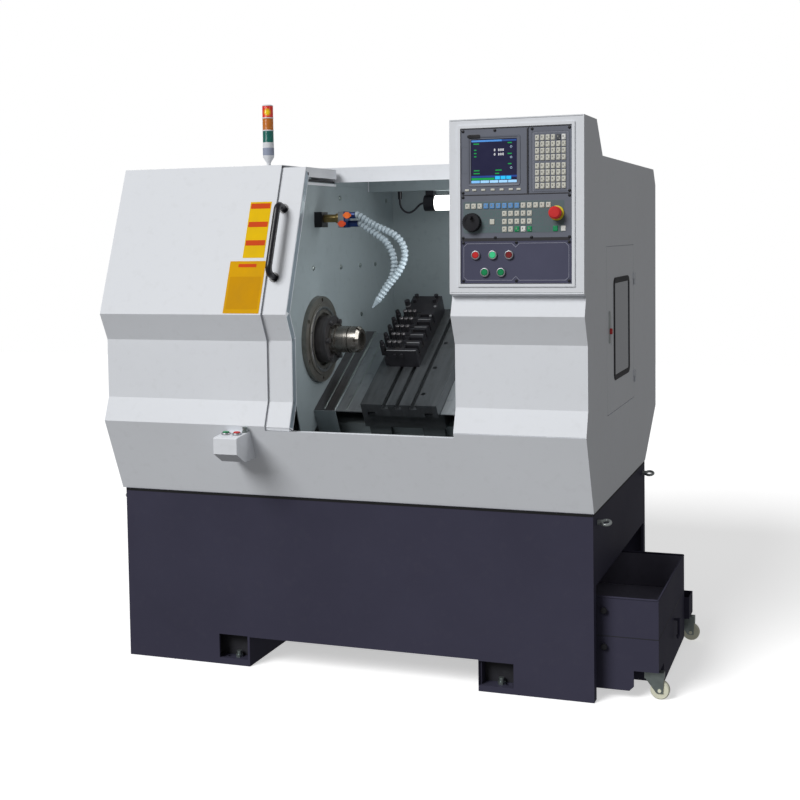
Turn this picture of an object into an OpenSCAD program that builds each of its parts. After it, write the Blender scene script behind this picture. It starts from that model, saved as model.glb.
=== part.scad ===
// Slant-bed CNC turning lathe with gang tooling, a sliding guard door and a chip cart.
// Sizes are in millimetres, measured from the front left bottom corner of the base:
// X runs along the spindle, Y from front to back, Z up.

/* [Base] */
// Depth of the base from front to back
base_depth = 914; // [880:1:960]
// Height of the base
base_h = 542; // [500:1:600]
// Thickness of the base's welded plates
base_plate = 8; // [6:1:10]
// Height of the gap between the two feet
foot_gap_h = 93; // [70:1:110]
// Length of the left foot
left_foot_len = 426; // [400:1:460]
// Length of the right foot
right_foot_len = 342; // [320:1:360]
// Radius of the four floor anchor holes
anchor_hole_r = 9; // [7:0.5:11]

/* [Guards] */
// Thickness of the guard sheet
sheet = 3; // [2:0.5:4]
// Length of the fixed guard left of the doorway
left_wing_len = 550; // [540:1:600]
// Strip of the open door that shows past the left guard
door_reveal = 78; // [60:1:100]
// Clear width of the doorway with the door open
doorway_w = 513; // [480:1:515]
// Width of the control column at the right
column_w = 382; // [376:1:420]
// How far the guards stand past the left end of the base
left_over = 13; // [5:1:25]
// How far the guards stand past the right end of the base
right_over = 2; // [1:1:12]
// Depth of the folded edges of the door
door_fold = 30; // [20:1:36]

/* [Spindle] */
// Height of the spindle axis above the base
spindle_rise = 470; // [450:1:500]
// Distance of the spindle axis behind the front of the base
spindle_y = 186; // [170:1:200]
// Slant of the bed from the horizontal
slant = 30; // [29:0.5:31]
// Radius of the bar bore through the spindle and chuck
bar_r = 23; // [15:0.5:28]
// Outer radius of the spindle in its bearings
spindle_r = 45; // [40:0.5:50]
// Radius of the headstock's front cap
cap_r = 135; // [120:1:140]

/* [Carriage] */
// Width of the cross slide along the spindle direction
slide_w = 245; // [235:1:270]
// Distance from the headstock wall to the cross slide
slide_gap = 170; // [165:1:190]
// Length of the cross slide along the slant
slide_len = 530; // [500:1:540]
// Pitch of the tool slots
tool_pitch = 44; // [40:1:46]
// Side of the square tool shanks
shank = 16; // [12:1:20]

/* [Panel] */
// Height of the control panel
panel_h = 487; // [487:1:520]
// Lean of the control panel from the vertical
panel_tilt = 2; // [0:0.5:4]
// Radius of the push button caps
button_r = 9; // [8:0.5:12]
// Radius of the emergency stop head
estop_r = 17.5; // [16:0.5:22]
// Radius of the hand pulse wheel
pulse_r = 25; // [20:0.5:28]

/* [Cart] */
// Length of the chip cart along the slide direction
cart_len = 521; // [480:1:540]
// Depth of the chip bin from front to back
bin_depth = 553; // [520:1:580]
// Height of the chip bin above the tank
bin_h = 113; // [90:1:130]
// Sheet thickness of the cart
cart_sheet = 3; // [2:0.5:4]
// Radius of the caster wheels
caster_r = 27.5; // [24:0.5:29]

/* [Hidden] */
$fn = 48;
fit = 0.3;
run_fit = 0.05;

// Layout along the spindle direction
base_len = left_wing_len + door_reveal + doorway_w + column_w - left_over - right_over;
guard_x0 = -left_over;
guard_x1 = base_len + right_over;
wing_edge = guard_x0 + left_wing_len;
door_edge = wing_edge + door_reveal;
column_edge = door_edge + doorway_w;
door_stop = 0.5;
door_travel = doorway_w - door_stop;
door_lap = 14;
door_x0 = wing_edge - door_lap - door_travel;
wall_x = door_edge - 15;
right_foot_x = base_len - right_foot_len;
liner_x1 = guard_x1 - 15;
liner_back = base_depth - 24;
seam = 0.4;

// Folds of the front guard as [y, z], from the base to the roof
fold = [
    [3, base_h],
    [-95, base_h + 229],
    [-67, base_h + 301],
    [-66, base_h + 482],
    [-106, base_h + 564],
    [69, base_h + 1015],
];
roof_z = fold[5][1];
roof_front = 335;
back = [
    [base_depth + 219, roof_z],
    [base_depth + 265, roof_z - 54],
    [base_depth + 246, base_h + 162],
    [base_depth - 1, base_h],
];

// Control column and its panel box as [y, z]
panel_z = base_h + 627;
panel_out = 110;
apron_lean = (fold[0][0] - fold[1][0]) / (fold[1][1] - fold[0][1]);
lean = (fold[5][0] - fold[4][0]) / (fold[5][1] - fold[4][1]);
brow_top = [fold[4][0] + (panel_z - 7 - fold[4][1]) * lean, panel_z - 7];
panel_low = [-panel_out, panel_z];
panel_high = panel_low + panel_h * [sin(panel_tilt), cos(panel_tilt)];
box_back = [panel_high[0] + 178, panel_high[1]];
box_foot = [panel_high[0] + 263, roof_z];
panel_w = column_w - 2 * sheet;
panel_border = 30;
panel_recess = 8;
plate_t = 8;
panel_face = plate_t - panel_recess;

// Spindle axis and the slant frame: s runs up the bed, h stands off it
spindle_z = base_h + spindle_rise;
bed_h = -270;
bed_s = [-190, 330];
cover_h = -164;
cover_s = [-150, 278];
rail_h = 35;
rail_w = 30;
rail_s = [-110, 235];
bed_x = [95, base_len - 210];
saddle_x = wall_x + slide_gap;
saddle_mid = saddle_x + slide_w / 2;
saddle_top = -171;
saddle_low = -225;
saddle_s = [-150, 290];
saddle_lip = 10;
table_h = -123;
table_low = -166;
table_s = [-170, slide_len - 170];
cross_rail_w = 24;
cross_rail_in = 30;
cross_rail_top = -152;
z_screw_r = 12.5;
z_screw_s = 65;
z_screw_h = -242;
x_screw_r = 8;
x_screw_h = -196;
lip_t = 3;
z_reach = 220;

// Spindle, pulleys and motor
pulley_x = [45, 85];
spindle_pulley_r = 95;
motor_pulley_r = 65;
motor_y = 760;
motor_z = base_h + 158;
motor_half = 115;
bearing_r = 70;
bearing_w = 34;
head_x = [95, 500];
nose_x = wall_x - 4;
bar_hole_r = bar_r + 12;
chuck_x = wall_x + 52;
chuck_ends = [16, 56, 59, 86, 94];

// Tool block
block_x = [saddle_x + 35, saddle_x + 135];
block_s = [28, 345];
block_top = table_h + 62;
slot_low = block_top - 30;
tip_h = -36;
bit_count = 5;
bit_out = 25;

// Cart
cart_x1 = guard_x1 + 171;
cart_x0 = cart_x1 - cart_len;
cart_y0 = 60;
cart_y1 = cart_y0 + bin_depth;
tank_z = 25;
bin_z = 179;
pump_bay = 87;
pump_bay_out = 16;
notch_z = 84;
notch_x = cart_x1 - 93;
notch_y = cart_y0 + 100;
skirt_x = notch_x + 22;
caster_trail = 25;
caster_lift = 0.2;
wheel_w = 20;
bay_h = 330;
bay_in = 34;
caster_at = [[cart_x1 - 26, cart_y0 + 32], [cart_x1 + pump_bay_out - 26, cart_y1 + 55]];

// Feet, anchors and levelling bolts
foot_t = 18;
foot_depth = 42;
anchor_x = [345, base_len - 258];
anchor_y = [30, base_depth - 30];
level_x = [375, base_len - 280];
level_r = 8;
origin = [(anchor_x[0] + anchor_x[1]) / 2, base_depth / 2, 0];

// Side door in the right guard as y and z spans
side_y = [218, 690];
side_z = [base_h + 250, base_h + 750];
window_y = [335, 593];
window_z = [base_h + 350, base_h + 646];
window_t = 5;
side_gap = 2;
side_rim = 14;
hinge_r = 4;
hinge_off = 4.5;
hinge_z = [side_z[0] + 70, side_z[1] - 110];

// Panel places as [u, v] from the lower left corner of the panel
panel_k = panel_h / 487;
row_v = 244 * panel_k;
row_drop = 22 * panel_k;
button_at = [for (at = [[77, 108], [126, 108], [173, 108], [103, 60], [150, 60]]) [at[0], at[1] * panel_k]];
estop_at = [307, row_v - 23];
pulse_at = [67, row_v - 45];
bezel_top = panel_h - 29;
bezel_split = 275 * panel_k;
plate_top = 149 * panel_k;
plate_seam = 0.8;
button_travel = 4;
estop_travel = 6;
lcd_lo = [63, 308 * panel_k];
lcd_hi = [195, 430 * panel_k];
lcd_inset = 2.5;
key_h = 2.5;
key_pitch = 17.7;
key_size = [13.4, 15];
key_u = 53.5;
mdi_size = [11.6, 15.5 * panel_k];
soft_size = [12, 6];
mdi_pitch = [14.8, 18.2 * panel_k];
mdi_split = 4.6 * panel_k;
mdi_at = [252.3, 296 * panel_k];
soft_v = 289 * panel_k;

// Switch box on the apron
switch_x = [411, 487];
switch_z = [base_h + 125, base_h + 204];
switch_rise = 8;
switch_front = fold[1][0] - 85;
switch_at = [19, 55];
switch_y = switch_front + 46;
switch_r = 9;
switch_travel = 4;

// Coolant fittings and lines on the headstock wall
cool_y = 190;
cool_z = base_h + 858;
valve_x = wall_x + 92;
valve_dz = 26;
lever_x = [valve_x + 20, valve_x + 2];
line_a = [
    [734, 0], [743, 0], [760, -9], [783, -24], [810, -38], [838, -50], [866, -66], [888, -92], [895, -124],
    [886, -156], [866, -188], [842, -216], [817, -249], [786, -288],
];
line_b = [
    [734, -26], [743, -26], [756, -35], [776, -48], [800, -64], [822, -80], [838, -102], [848, -126],
    [852, -150], [850, -173], [841, -200], [818, -233], [793, -276],
];
line_dy = 11;
stem_h = 12;
bead_r = 10.5;
neck_r = 8.2;
bead_pitch = 16;

// Lamp and its cable
lamp_y = 640;
beam_low = roof_z - 70;
lamp_x = [802, 1010];
lamp_mid = roof_z - 113;
cable_r = 3.5;
cable = [
    [709, 0, 1459], [709, 0, 1450], [710, 0, 1441], [713, 0, 1432], [718, 0, 1424], [725, 0, 1418],
    [733, 0, 1414], [742, 0, 1413], [751, 0, 1415], [760, 0, 1420], [768, 0, 1427], [776, 0, 1435],
    [784, 0, 1441], [793, 0, 1444], [802, 0, 1444],
];

// Tower light on the left guard
tower_x = 384;
tower_y = 300;
tower_r = 16.5;
lens_z = 97;
lens_h = 35;
ring_h = 3;

// Handle on the door, measured up the slanted face of the door
handle_x = door_edge - 54;
handle_low = 117;
handle_len = 221;
handle_r = 10;
handle_off = 46;

// Mitred offset of an open path, to the right of its direction
function unit(v) = v / norm(v);
function right_of(a, b) = let (d = unit(b - a)) [d[1], -d[0]];
function offset_point(p, i, t) =
    let (last = len(p) - 1)
    let (before = right_of(p[max(i - 1, 0)], p[max(i, 1)]))
    let (after = right_of(p[min(i, last - 1)], p[min(i + 1, last)]))
    let (mid = unit(before + after))
    p[i] + mid * t / (mid * before);
function offset_path(p, t) = [for (i = [0 : len(p) - 1]) offset_point(p, i, t)];
function reversed(p) = [for (i = [len(p) - 1 : -1 : 0]) p[i]];

// Point of the slant frame in the machine's y and z
function slant_point(s, h) = [
    spindle_y + s * cos(slant) - h * sin(slant),
    spindle_z + s * sin(slant) + h * cos(slant),
];

module datum() translate(-origin) children();
module slanted() translate([0, spindle_y, spindle_z]) rotate([slant, 0, 0]) children();
module on_panel() translate([column_edge, -panel_out, panel_z]) rotate([90 - panel_tilt, 0, 0]) children();
module block(lo, hi) translate(lo) cube(hi - lo);
module along_x(x0, x1) translate([x0, 0, 0]) rotate([90, 0, 90]) linear_extrude(x1 - x0) children();
module along_y(y0, y1) translate([0, y1, 0]) rotate([90, 0, 0]) linear_extrude(y1 - y0) children();
module strip(p, t) polygon(concat(p, reversed(offset_path(p, t))));
module rod_x(x0, x1, r) translate([x0, 0, 0]) rotate([0, 90, 0]) cylinder(h = x1 - x0, r = r);
module disc(at, w0, w1, r) translate([at[0], at[1], w0]) cylinder(h = w1 - w0, r = r);

// Base

module foot_pocket(x0, x1, z0, z1) {
    block([x0, -1, z0], [x1, base_plate + 1, z1]);
    block([x0, base_depth - base_plate - 1, z0], [x1, base_depth + 1, z1]);
}

module base_cabinet() color("#3a3946") datum() difference() {
    union() {
        for (y = [0, base_depth - base_plate]) difference() {
            block([0, y, 0], [base_len, y + base_plate, base_h]);
            block([left_foot_len, y - 1, -1], [right_foot_x, y + base_plate + 1, foot_gap_h]);
        }
        block([0, 0, 0], [base_plate, base_depth, base_h]);
        block([left_foot_len - base_plate, 0, 0], [left_foot_len, base_depth, base_h]);
        block([base_len - base_plate, 0, 0], [base_len, base_depth, base_h]);
        block([0, 0, base_h - base_plate], [base_len, base_depth, base_h]);
        for (y = [base_plate, base_depth - base_plate - foot_depth]) {
            block([anchor_x[0] - 45, y, 0], [left_foot_len - base_plate, y + foot_depth, foot_t]);
            block([right_foot_x, y, 0], [right_foot_x + 125, y + foot_depth, foot_t]);
            block([right_foot_x, y, 0], [right_foot_x + base_plate, y + foot_depth, foot_gap_h]);
        }
    }
    foot_pocket(left_foot_len - 105, left_foot_len - base_plate + 1, foot_t + 2, foot_gap_h + 2);
    foot_pocket(right_foot_x + 2, right_foot_x + 106, foot_t, foot_gap_h - 3);
    block([base_len - base_plate - 1, bay_in, -1], [base_len + 1, base_depth - bay_in, bay_h]);
    block([wall_x + 20, 24, base_h - base_plate - 1], [base_len - 60, 125, base_h + 1]);
    for (x = anchor_x, y = anchor_y) translate([x, y, -1]) cylinder(h = foot_t + 2, r = anchor_hole_r);
    for (x = level_x, y = anchor_y) translate([x, y, -1]) cylinder(h = foot_t + 2, r = level_r + fit);
}

module levelling_bolts() color("silver") datum() for (x = level_x, y = anchor_y) translate([x, y, 0]) {
    cylinder(h = 38, r = level_r);
    translate([0, 0, foot_t]) cylinder(h = 8, r = 12, $fn = 6);
}

module lifting_eye() {
    rotate([0, 90, 0]) cylinder(h = 12, r = 8);
    translate([24, 0, 0]) rotate([18, 0, 0]) rotate_extrude() translate([13, 0]) circle(4.5);
}

module lifting_eyes() color("silver") datum() for (y = [66, base_depth - 48]) {
    translate([base_len, y, base_h - 36]) lifting_eye();
    translate([0, y, base_h - 36]) mirror([1, 0, 0]) lifting_eye();
}

// Bed and headstock

module slant_bed() color("#6d7376") datum() difference() {
    union() {
        along_x(bed_x[0], bed_x[1]) polygon([
            [slant_point(bed_s[0], bed_h)[0], base_h],
            slant_point(bed_s[0], bed_h),
            slant_point(bed_s[1], bed_h),
            [slant_point(bed_s[1], bed_h)[0], base_h],
        ]);
        slanted() for (s = rail_s)
            block([head_x[1] + 20, s - rail_w / 2, bed_h - 1], [bed_x[1], s + rail_w / 2, bed_h + rail_h]);
        slanted() for (x = [wall_x - 60, bed_x[1] - 30]) difference() {
            block([x, z_screw_s - 35, bed_h - 1], [x + 30, z_screw_s + 35, z_screw_h + 24]);
            translate([0, z_screw_s, z_screw_h]) rod_x(x - 1, x + 31, z_screw_r + run_fit);
        }
    }
    for (x = [head_x[1] + 60, head_x[1] + 330, head_x[1] + 600])
        block([x, -1, base_h - 1], [x + 200, base_depth, base_h + 110]);
}

module headstock() color("#7d8588") datum() slanted() difference() {
    union() {
        along_x(head_x[0], head_x[1])
            polygon([[-140, bed_h], [190, bed_h], [150, -60], [150, 90], [100, 140], [-90, 140], [-140, 90]]);
        rod_x(head_x[1] - 1, nose_x, cap_r - 10);
    }
    rod_x(head_x[0] - 1, nose_x + 1, spindle_r + 8);
    rod_x(head_x[0] - 1, head_x[0] + bearing_w, bearing_r);
    rod_x(nose_x - bearing_w, nose_x + 1, bearing_r);
}

module spindle_bearings() color("silver") datum() slanted()
    for (x = [head_x[0], nose_x - bearing_w]) difference() {
        rod_x(x, x + bearing_w, bearing_r);
        rod_x(x - 1, x + bearing_w + 1, spindle_r + run_fit);
        translate([x - 1, 0, 0]) rotate([0, 90, 0]) difference() {
            cylinder(h = 7, r = bearing_r - 8);
            translate([0, 0, -1]) cylinder(h = 9, r = spindle_r + 8);
        }
    }

module bearing_cap() color("#5c5a56") datum() slanted() difference() {
    union() {
        rod_x(nose_x, wall_x + 14, cap_r);
        rod_x(wall_x + 13, wall_x + 18, cap_r - 22);
    }
    rod_x(nose_x - 1, wall_x + 20, spindle_r + 10);
    rod_x(wall_x + 6, wall_x + 20, 84);
    for (a = [30 : 60 : 330]) rotate([a, 0, 0]) translate([0, 0, cap_r - 11])
        rod_x(wall_x + 6, wall_x + 15, 6);
}

module spindle() color("#3c3c3e") datum() slanted() difference() {
    union() {
        rod_x(pulley_x[0] - 8, chuck_x - 20, spindle_r);
        rod_x(nose_x + 14, chuck_x, 74);
        rod_x(pulley_x[0], pulley_x[1], spindle_pulley_r);
        for (a = [0 : 60 : 300]) rotate([a, 0, 0]) translate([0, 0, 62]) rod_x(chuck_x - 1, chuck_x + 12, 8);
    }
    rod_x(0, chuck_x + 1, bar_r);
    for (i = [0 : 4]) translate([pulley_x[0] + 4 + i * 7, 0, 0]) rotate([0, 90, 0]) difference() {
        cylinder(h = 4, r = spindle_pulley_r + 1);
        translate([0, 0, -1]) cylinder(h = 6, r = spindle_pulley_r - 5);
    }
}

module collet_chuck() color("#a9a7a2") datum() slanted() difference() {
    union() {
        rod_x(chuck_x, chuck_x + chuck_ends[0], 50);
        rod_x(chuck_x + chuck_ends[0], chuck_x + chuck_ends[1], 42);
        rod_x(chuck_x + chuck_ends[1], chuck_x + chuck_ends[2], 38);
        rod_x(chuck_x + chuck_ends[2], chuck_x + chuck_ends[3], 42);
        translate([chuck_x + chuck_ends[3], 0, 0]) rotate([0, 90, 0])
            cylinder(h = chuck_ends[4] - chuck_ends[3], r1 = 42, r2 = 34);
    }
    rod_x(chuck_x - 1, chuck_x + chuck_ends[4] + 1, bar_r);
    for (a = [0 : 60 : 300]) rotate([a, 0, 0])
        block([chuck_x + chuck_ends[3] - 6, -4.5, 33], [chuck_x + chuck_ends[4] + 1, 4.5, 44]);
    for (a = [0 : 90 : 270]) rotate([a, 0, 0])
        block([chuck_x + 6, -7, 44], [chuck_x + chuck_ends[0] + 1, 7, 52]);
}

// Drive

// Points of an arc round a centre, from one angle to another
function arc(at, r, from, to, n) =
    [for (i = [0 : n]) let (a = from + (to - from) * i / n) at + r * [cos(a), sin(a)]];

// Closed outline of a belt round two pulleys at a and b
function belt_line(a, ra, b, rb) =
    let (along = atan2(b[1] - a[1], b[0] - a[0]))
    let (turn = acos((ra - rb) / norm(b - a)))
    concat(arc(a, ra, along + turn, along + 360 - turn, 48), arc(b, rb, along - turn, along + turn, 40));

module drive_belt() color("#26262a") datum() along_x(pulley_x[0] + 3, pulley_x[1] - 3) difference() {
    polygon(belt_line([spindle_y, spindle_z], spindle_pulley_r + 7, [motor_y, motor_z], motor_pulley_r + 7));
    polygon(belt_line([spindle_y, spindle_z], spindle_pulley_r + 2 * fit, [motor_y, motor_z],
        motor_pulley_r + 2 * fit));
}

module motor_pulley() color("#4a4a4e") datum() translate([0, motor_y, motor_z]) difference() {
    union() {
        rod_x(pulley_x[0], pulley_x[1], motor_pulley_r);
        rod_x(pulley_x[1] - 1, pulley_x[1] + 60, 19);
    }
    for (i = [0 : 4]) translate([pulley_x[0] + 4 + i * 7, 0, 0]) rotate([0, 90, 0]) difference() {
        cylinder(h = 4, r = motor_pulley_r + 1);
        translate([0, 0, -1]) cylinder(h = 6, r = motor_pulley_r - 5);
    }
}

module spindle_motor() color("#50565c") datum() translate([0, motor_y, motor_z]) difference() {
    union() {
        rod_x(pulley_x[1] + 25, pulley_x[1] + 305, motor_half - 12);
        for (i = [0 : 11]) rotate([i * 30, 0, 0])
            block([pulley_x[1] + 50, -4, 60], [pulley_x[1] + 280, 4, motor_half]);
        for (y = [-90, 60])
            block([pulley_x[1] + 70, y, base_h - motor_z], [pulley_x[1] + 260, y + 30, -60]);
        block([pulley_x[1] + 110, -50, 80], [pulley_x[1] + 210, 50, motor_half + 26]);
    }
    rod_x(pulley_x[1], pulley_x[1] + 120, 19 + run_fit);
}

module servo(len, half, shaft_r) difference() {
    union() {
        block([0, -half, -half], [14, half, half]);
        rod_x(13, len - 40, half - 3);
        block([len - 41, -half + 4, -half + 4], [len, half - 4, half - 4]);
        block([len - 36, -12, half - 5], [len - 12, 12, half + 12]);
    }
    rod_x(-1, 30, shaft_r + run_fit);
}

module z_servo_motor() color("#2b2b2f") datum() slanted()
    translate([bed_x[1], z_screw_s, z_screw_h]) servo(150, 45, z_screw_r);

module z_ballscrew() color("silver") datum() slanted()
    translate([0, z_screw_s, z_screw_h]) rod_x(wall_x - 58, bed_x[1] + 25, z_screw_r);

// Guards

module side_outline(front) polygon(concat(front, back));

module front_cover() color("#dcdee2") datum() difference() {
    union() {
        along_x(guard_x0, guard_x0 + sheet) side_outline(fold);
        along_x(guard_x0 + sheet - 1, guard_x1 - sheet) strip([fold[0], fold[1]], sheet);
        along_x(guard_x0 + sheet - 1, wing_edge)
            strip([for (i = [1 : 5]) fold[i], [roof_front - fit, roof_z]], sheet);
        along_x(guard_x0 + sheet - 1, column_edge) polygon([
            [fold[1][0] + 13, fold[1][1] - 27],
            [fold[1][0] + 60, fold[1][1] - 27],
            [fold[1][0] + 60, fold[1][1] - 19],
            [fold[1][0] + 10, fold[1][1] - 19],
        ]);
    }
    block([wing_edge, fold[1][0] - 5, fold[1][1] - 14], [column_edge, fold[1][0] + 20, fold[1][1] + 5]);
    slanted() rod_x(guard_x0 - 1, guard_x0 + sheet + 1, bar_hole_r);
}

module right_cover() color("#d2d4d8") datum() {
    column = [for (i = [1 : 4]) fold[i]];
    start = fold[1] + 2 * unit(fold[2] - fold[1]);
    front = concat([start], [for (i = [2 : 4]) fold[i]], [brow_top, panel_low]);
    difference() {
        along_x(guard_x1 - sheet, guard_x1)
            side_outline(concat([fold[0]], column, [brow_top, panel_low, panel_high, box_back, box_foot]));
        block([guard_x1 - sheet - 1, side_y[0] - side_gap, side_z[0] - side_gap],
            [guard_x1 + 1, side_y[1] + side_gap, side_z[1] + side_gap]);
    }
    difference() {
        block([guard_x1 - sheet - 8, side_y[0] - side_rim, side_z[0] - side_rim],
            [guard_x1 - sheet, side_y[1] + side_rim, side_z[1] + side_rim]);
        block([guard_x1 - sheet - 9, side_y[0] + side_rim, side_z[0] + side_rim],
            [guard_x1 - sheet + 1, side_y[1] - side_rim, side_z[1] - side_rim]);
        block([guard_x1 - sheet - fit, side_y[0] - side_gap, side_z[0] - side_gap],
            [guard_x1 + 1, side_y[1] + side_gap, side_z[1] + side_gap]);
    }
    along_x(column_edge + sheet - 1, guard_x1 - sheet + 1) strip(front, sheet);
    along_x(column_edge + sheet - 1, guard_x1 - sheet + 1) strip([panel_high, box_back, box_foot], sheet);
    along_x(column_edge, column_edge + sheet) polygon(concat(front, [panel_high, box_back, box_foot],
        reversed(offset_path([start, fold[2], fold[3], fold[4], fold[5]], 60))));
    for (z = hinge_z) difference() {
        union() {
            translate([guard_x1 + hinge_off, side_y[1] + 1, z - 20]) cylinder(h = 19.7, r = hinge_r);
            block([guard_x1 - 1, side_y[1] + side_gap + 1, z - 20],
                [guard_x1 + hinge_off, side_y[1] + 14, z - fit]);
        }
        translate([guard_x1 + hinge_off, side_y[1] + 1, z - 21]) cylinder(h = 22, r = 2 + run_fit);
    }
}

module rear_cover() color("#d6d8dc") datum() {
    left = [[roof_front, roof_z - 48], [roof_front, roof_z]];
    right = [[box_foot[0] + 4, roof_z]];
    along_x(guard_x0 + sheet, column_edge) strip(concat(left, back), sheet);
    along_x(column_edge - 1, guard_x1 - sheet) strip(concat(right, back), sheet);
    along_x(wall_x + 1, guard_x1 - sheet) polygon([
        [lamp_y, beam_low], [lamp_y + 50, beam_low], [lamp_y + 50, roof_z - 1], [lamp_y + 47, roof_z - 1],
        [lamp_y + 47, beam_low + sheet], [lamp_y + 3, beam_low + sheet], [lamp_y + 3, roof_z - 1],
        [lamp_y, roof_z - 1],
    ]);
}

// Cut-out of the headstock wall round the bed
module bed_window() polygon([
    slant_point(bed_s[0] - 3, bed_h + rail_h + 12),
    slant_point(bed_s[1] + 3, bed_h + rail_h + 12),
    slant_point(bed_s[1], bed_h) + [5, 5],
    [slant_point(bed_s[1], bed_h)[0] + 5, base_h - 1],
    [slant_point(bed_s[0], bed_h)[0] - 3, base_h - 1],
]);

// Fixed cover over the ways, on two legs that stand on the bed
module fixed_cover(x0, x1, leg_x1) {
    block([x0, cover_s[0] - lip_t - 3, cover_h - lip_t], [x1, cover_s[1] + lip_t + 3, cover_h]);
    for (s = [cover_s[0] - lip_t - 3, cover_s[1] + 3])
        block([x0, s, bed_h], [leg_x1, s + lip_t, cover_h - 1]);
}

// Sheets that line the work space, each a sheet of its own with a seam to the next
module inner_walls() color("#8b989c") datum() {
    low = slant_point(cover_s[0], cover_h);
    high = slant_point(cover_s[1], cover_h - lip_t);
    difference() {
        along_x(wall_x - sheet, wall_x) polygon(concat(
            [[40, base_h], [40, base_h + 170]],
            offset_path([for (i = [2 : 5]) fold[i]], 62),
            [[fold[5][0] + 90, roof_z - 52], [liner_back - seam, roof_z - 52], [liner_back - seam, base_h]]));
        slanted() rod_x(wall_x - sheet - 1, wall_x + 1, cap_r + 1);
        slanted() block([wall_x - sheet - 1, cover_s[0] - 4, saddle_top - lip_t],
            [wall_x + 1, cover_s[1] + 4, cover_h - lip_t + seam]);
        along_x(wall_x - sheet - 1, wall_x + 1) bed_window();
    }
    block([wall_x - sheet, liner_back, base_h], [liner_x1, liner_back + sheet, roof_z - sheet]);
    slanted() fixed_cover(wall_x + seam, wall_x + 72, wall_x + 72);
    slanted() fixed_cover(saddle_x + slide_w + z_reach + 5, liner_x1 - sheet - seam, bed_x[1]);
    along_x(liner_x1 - sheet, liner_x1) polygon([
        [low[0], base_h], [low[0], low[1] - 1], high, [high[0] + 60, base_h + 200],
        [liner_back - seam, base_h + 200], [liner_back - seam, base_h],
    ]);
}

// Door

module door() color("#d9dbdf") datum() {
    outer = offset_path(concat([for (i = [1 : 5]) fold[i]], [[roof_front, roof_z]]), sheet + 5);
    face = [for (i = [0 : 4]) outer[i], [roof_front - 17, outer[5][1]]];
    along_x(door_x0, door_edge) strip(face, sheet);
    for (x = [door_x0, door_edge - sheet]) along_x(x, x + sheet) strip(face, door_fold);
    along_x(door_x0 + 1, door_edge - 1) polygon([
        face[0] + [1, 1], face[0] + [3, -10], face[0] + [16, -10], face[0] + [16, -7], face[0] + [6, -7],
        face[0] + [6, 4],
    ]);
}

// Bent bar from its lower foot to its upper foot, in the slant plane of the door
module handle_bar() {
    bend = 22;
    for (v = [0, handle_len]) {
        translate([0, v, 0]) cylinder(h = handle_off - bend, r = handle_r);
        translate([0, v, 0]) cylinder(h = 3, r = handle_r + 5);
    }
    translate([0, bend, handle_off]) rotate([-90, 0, 0]) cylinder(h = handle_len - 2 * bend, r = handle_r);
    translate([0, bend, handle_off - bend]) rotate([0, -90, 0]) rotate([0, 0, -90])
        rotate_extrude(angle = 90) translate([bend, 0]) circle(handle_r);
    translate([0, handle_len - bend, handle_off - bend]) rotate([0, -90, 0])
        rotate_extrude(angle = 90) translate([bend, 0]) circle(handle_r);
}

module door_handle() color("#232328") datum() {
    outer = offset_path([for (i = [3 : 5]) fold[i]], sheet + 5);
    translate([handle_x, outer[1][0], outer[1][1]]) rotate([90 - atan(lean), 0, 0])
        translate([0, handle_low, 0.1]) handle_bar();
}

// Control panel

module panel_frame() color("#d8dade") datum() on_panel() translate([sheet, 0, 0]) difference() {
    union() {
        block([0, sheet + 1, -40], [panel_w, panel_h - sheet - 1, 0]);
        difference() {
            block([panel_border - 8, panel_border - 10, -1], [panel_w - panel_border + 8, panel_h - 18, 4]);
            block([panel_border, panel_border - 2, -2], [panel_w - panel_border, panel_h - 26, 5]);
        }
    }
    block([panel_border, panel_border - 2, -panel_recess], [panel_w - panel_border, panel_h - 26, 5]);
    block([panel_border + 14, panel_border + 10, -41], [panel_w - panel_border - 14, panel_h - 50, 1]);
}

module plate(lo, hi) block([lo[0], lo[1], -panel_recess], [hi[0], hi[1], panel_face]);

module cnc_bezel() color("#585c66") datum() on_panel() difference() {
    lo = sheet + panel_border + 1;
    hi = sheet + panel_w - panel_border - 1;
    union() {
        plate([lo, bezel_split + plate_seam], [hi, bezel_top]);
        plate([lo, plate_top + plate_seam], [hi, bezel_split]);
    }
    block([226, bezel_split - 1, panel_face - 3], [231, bezel_top + 1, panel_face + 1]);
    block([lcd_lo[0], lcd_lo[1], -panel_recess - 1], [lcd_hi[0], lcd_hi[1], panel_face + 1]);
    disc(estop_at, -panel_recess - 1, panel_face + 1, 11 + fit);
    disc(pulse_at, -panel_recess - 1, panel_face + 1, 5 + run_fit);
}

module lcd_screen() color("#2a2a48") datum() on_panel()
    block([lcd_lo[0] + fit, lcd_lo[1] + fit, -panel_recess],
        [lcd_hi[0] - fit, lcd_hi[1] - fit, panel_face - lcd_inset]);

module key(u, v, size) block([u - size[0] / 2, v - size[1] / 2, panel_face],
    [u + size[0] / 2, v + size[1] / 2, panel_face + key_h]);

// Height of row j of the letter keys, with a wider gap in the middle
function mdi_v(j) = mdi_at[1] + j * mdi_pitch[1] + (j > 3 ? mdi_split : 0);

module keypad_keys() color("#c8c8be") datum() on_panel() {
    for (i = [0 : 5], j = [0 : 7]) key(mdi_at[0] + i * mdi_pitch[0], mdi_v(j), mdi_size);
    for (u = [52, 73, 99, 126, 152, 178, 200]) key(u, soft_v, soft_size);
    for (i = [0 : 13]) key(key_u + i * key_pitch, row_v, key_size);
    for (i = [6 : 10], j = [1 : 3]) key(key_u + i * key_pitch, row_v - j * row_drop, key_size);
    key(key_u + 4 * key_pitch, row_v - 2 * row_drop, key_size);
    for (u = [303, 325]) key(u, row_v - 3 * row_drop, key_size);
}

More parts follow.
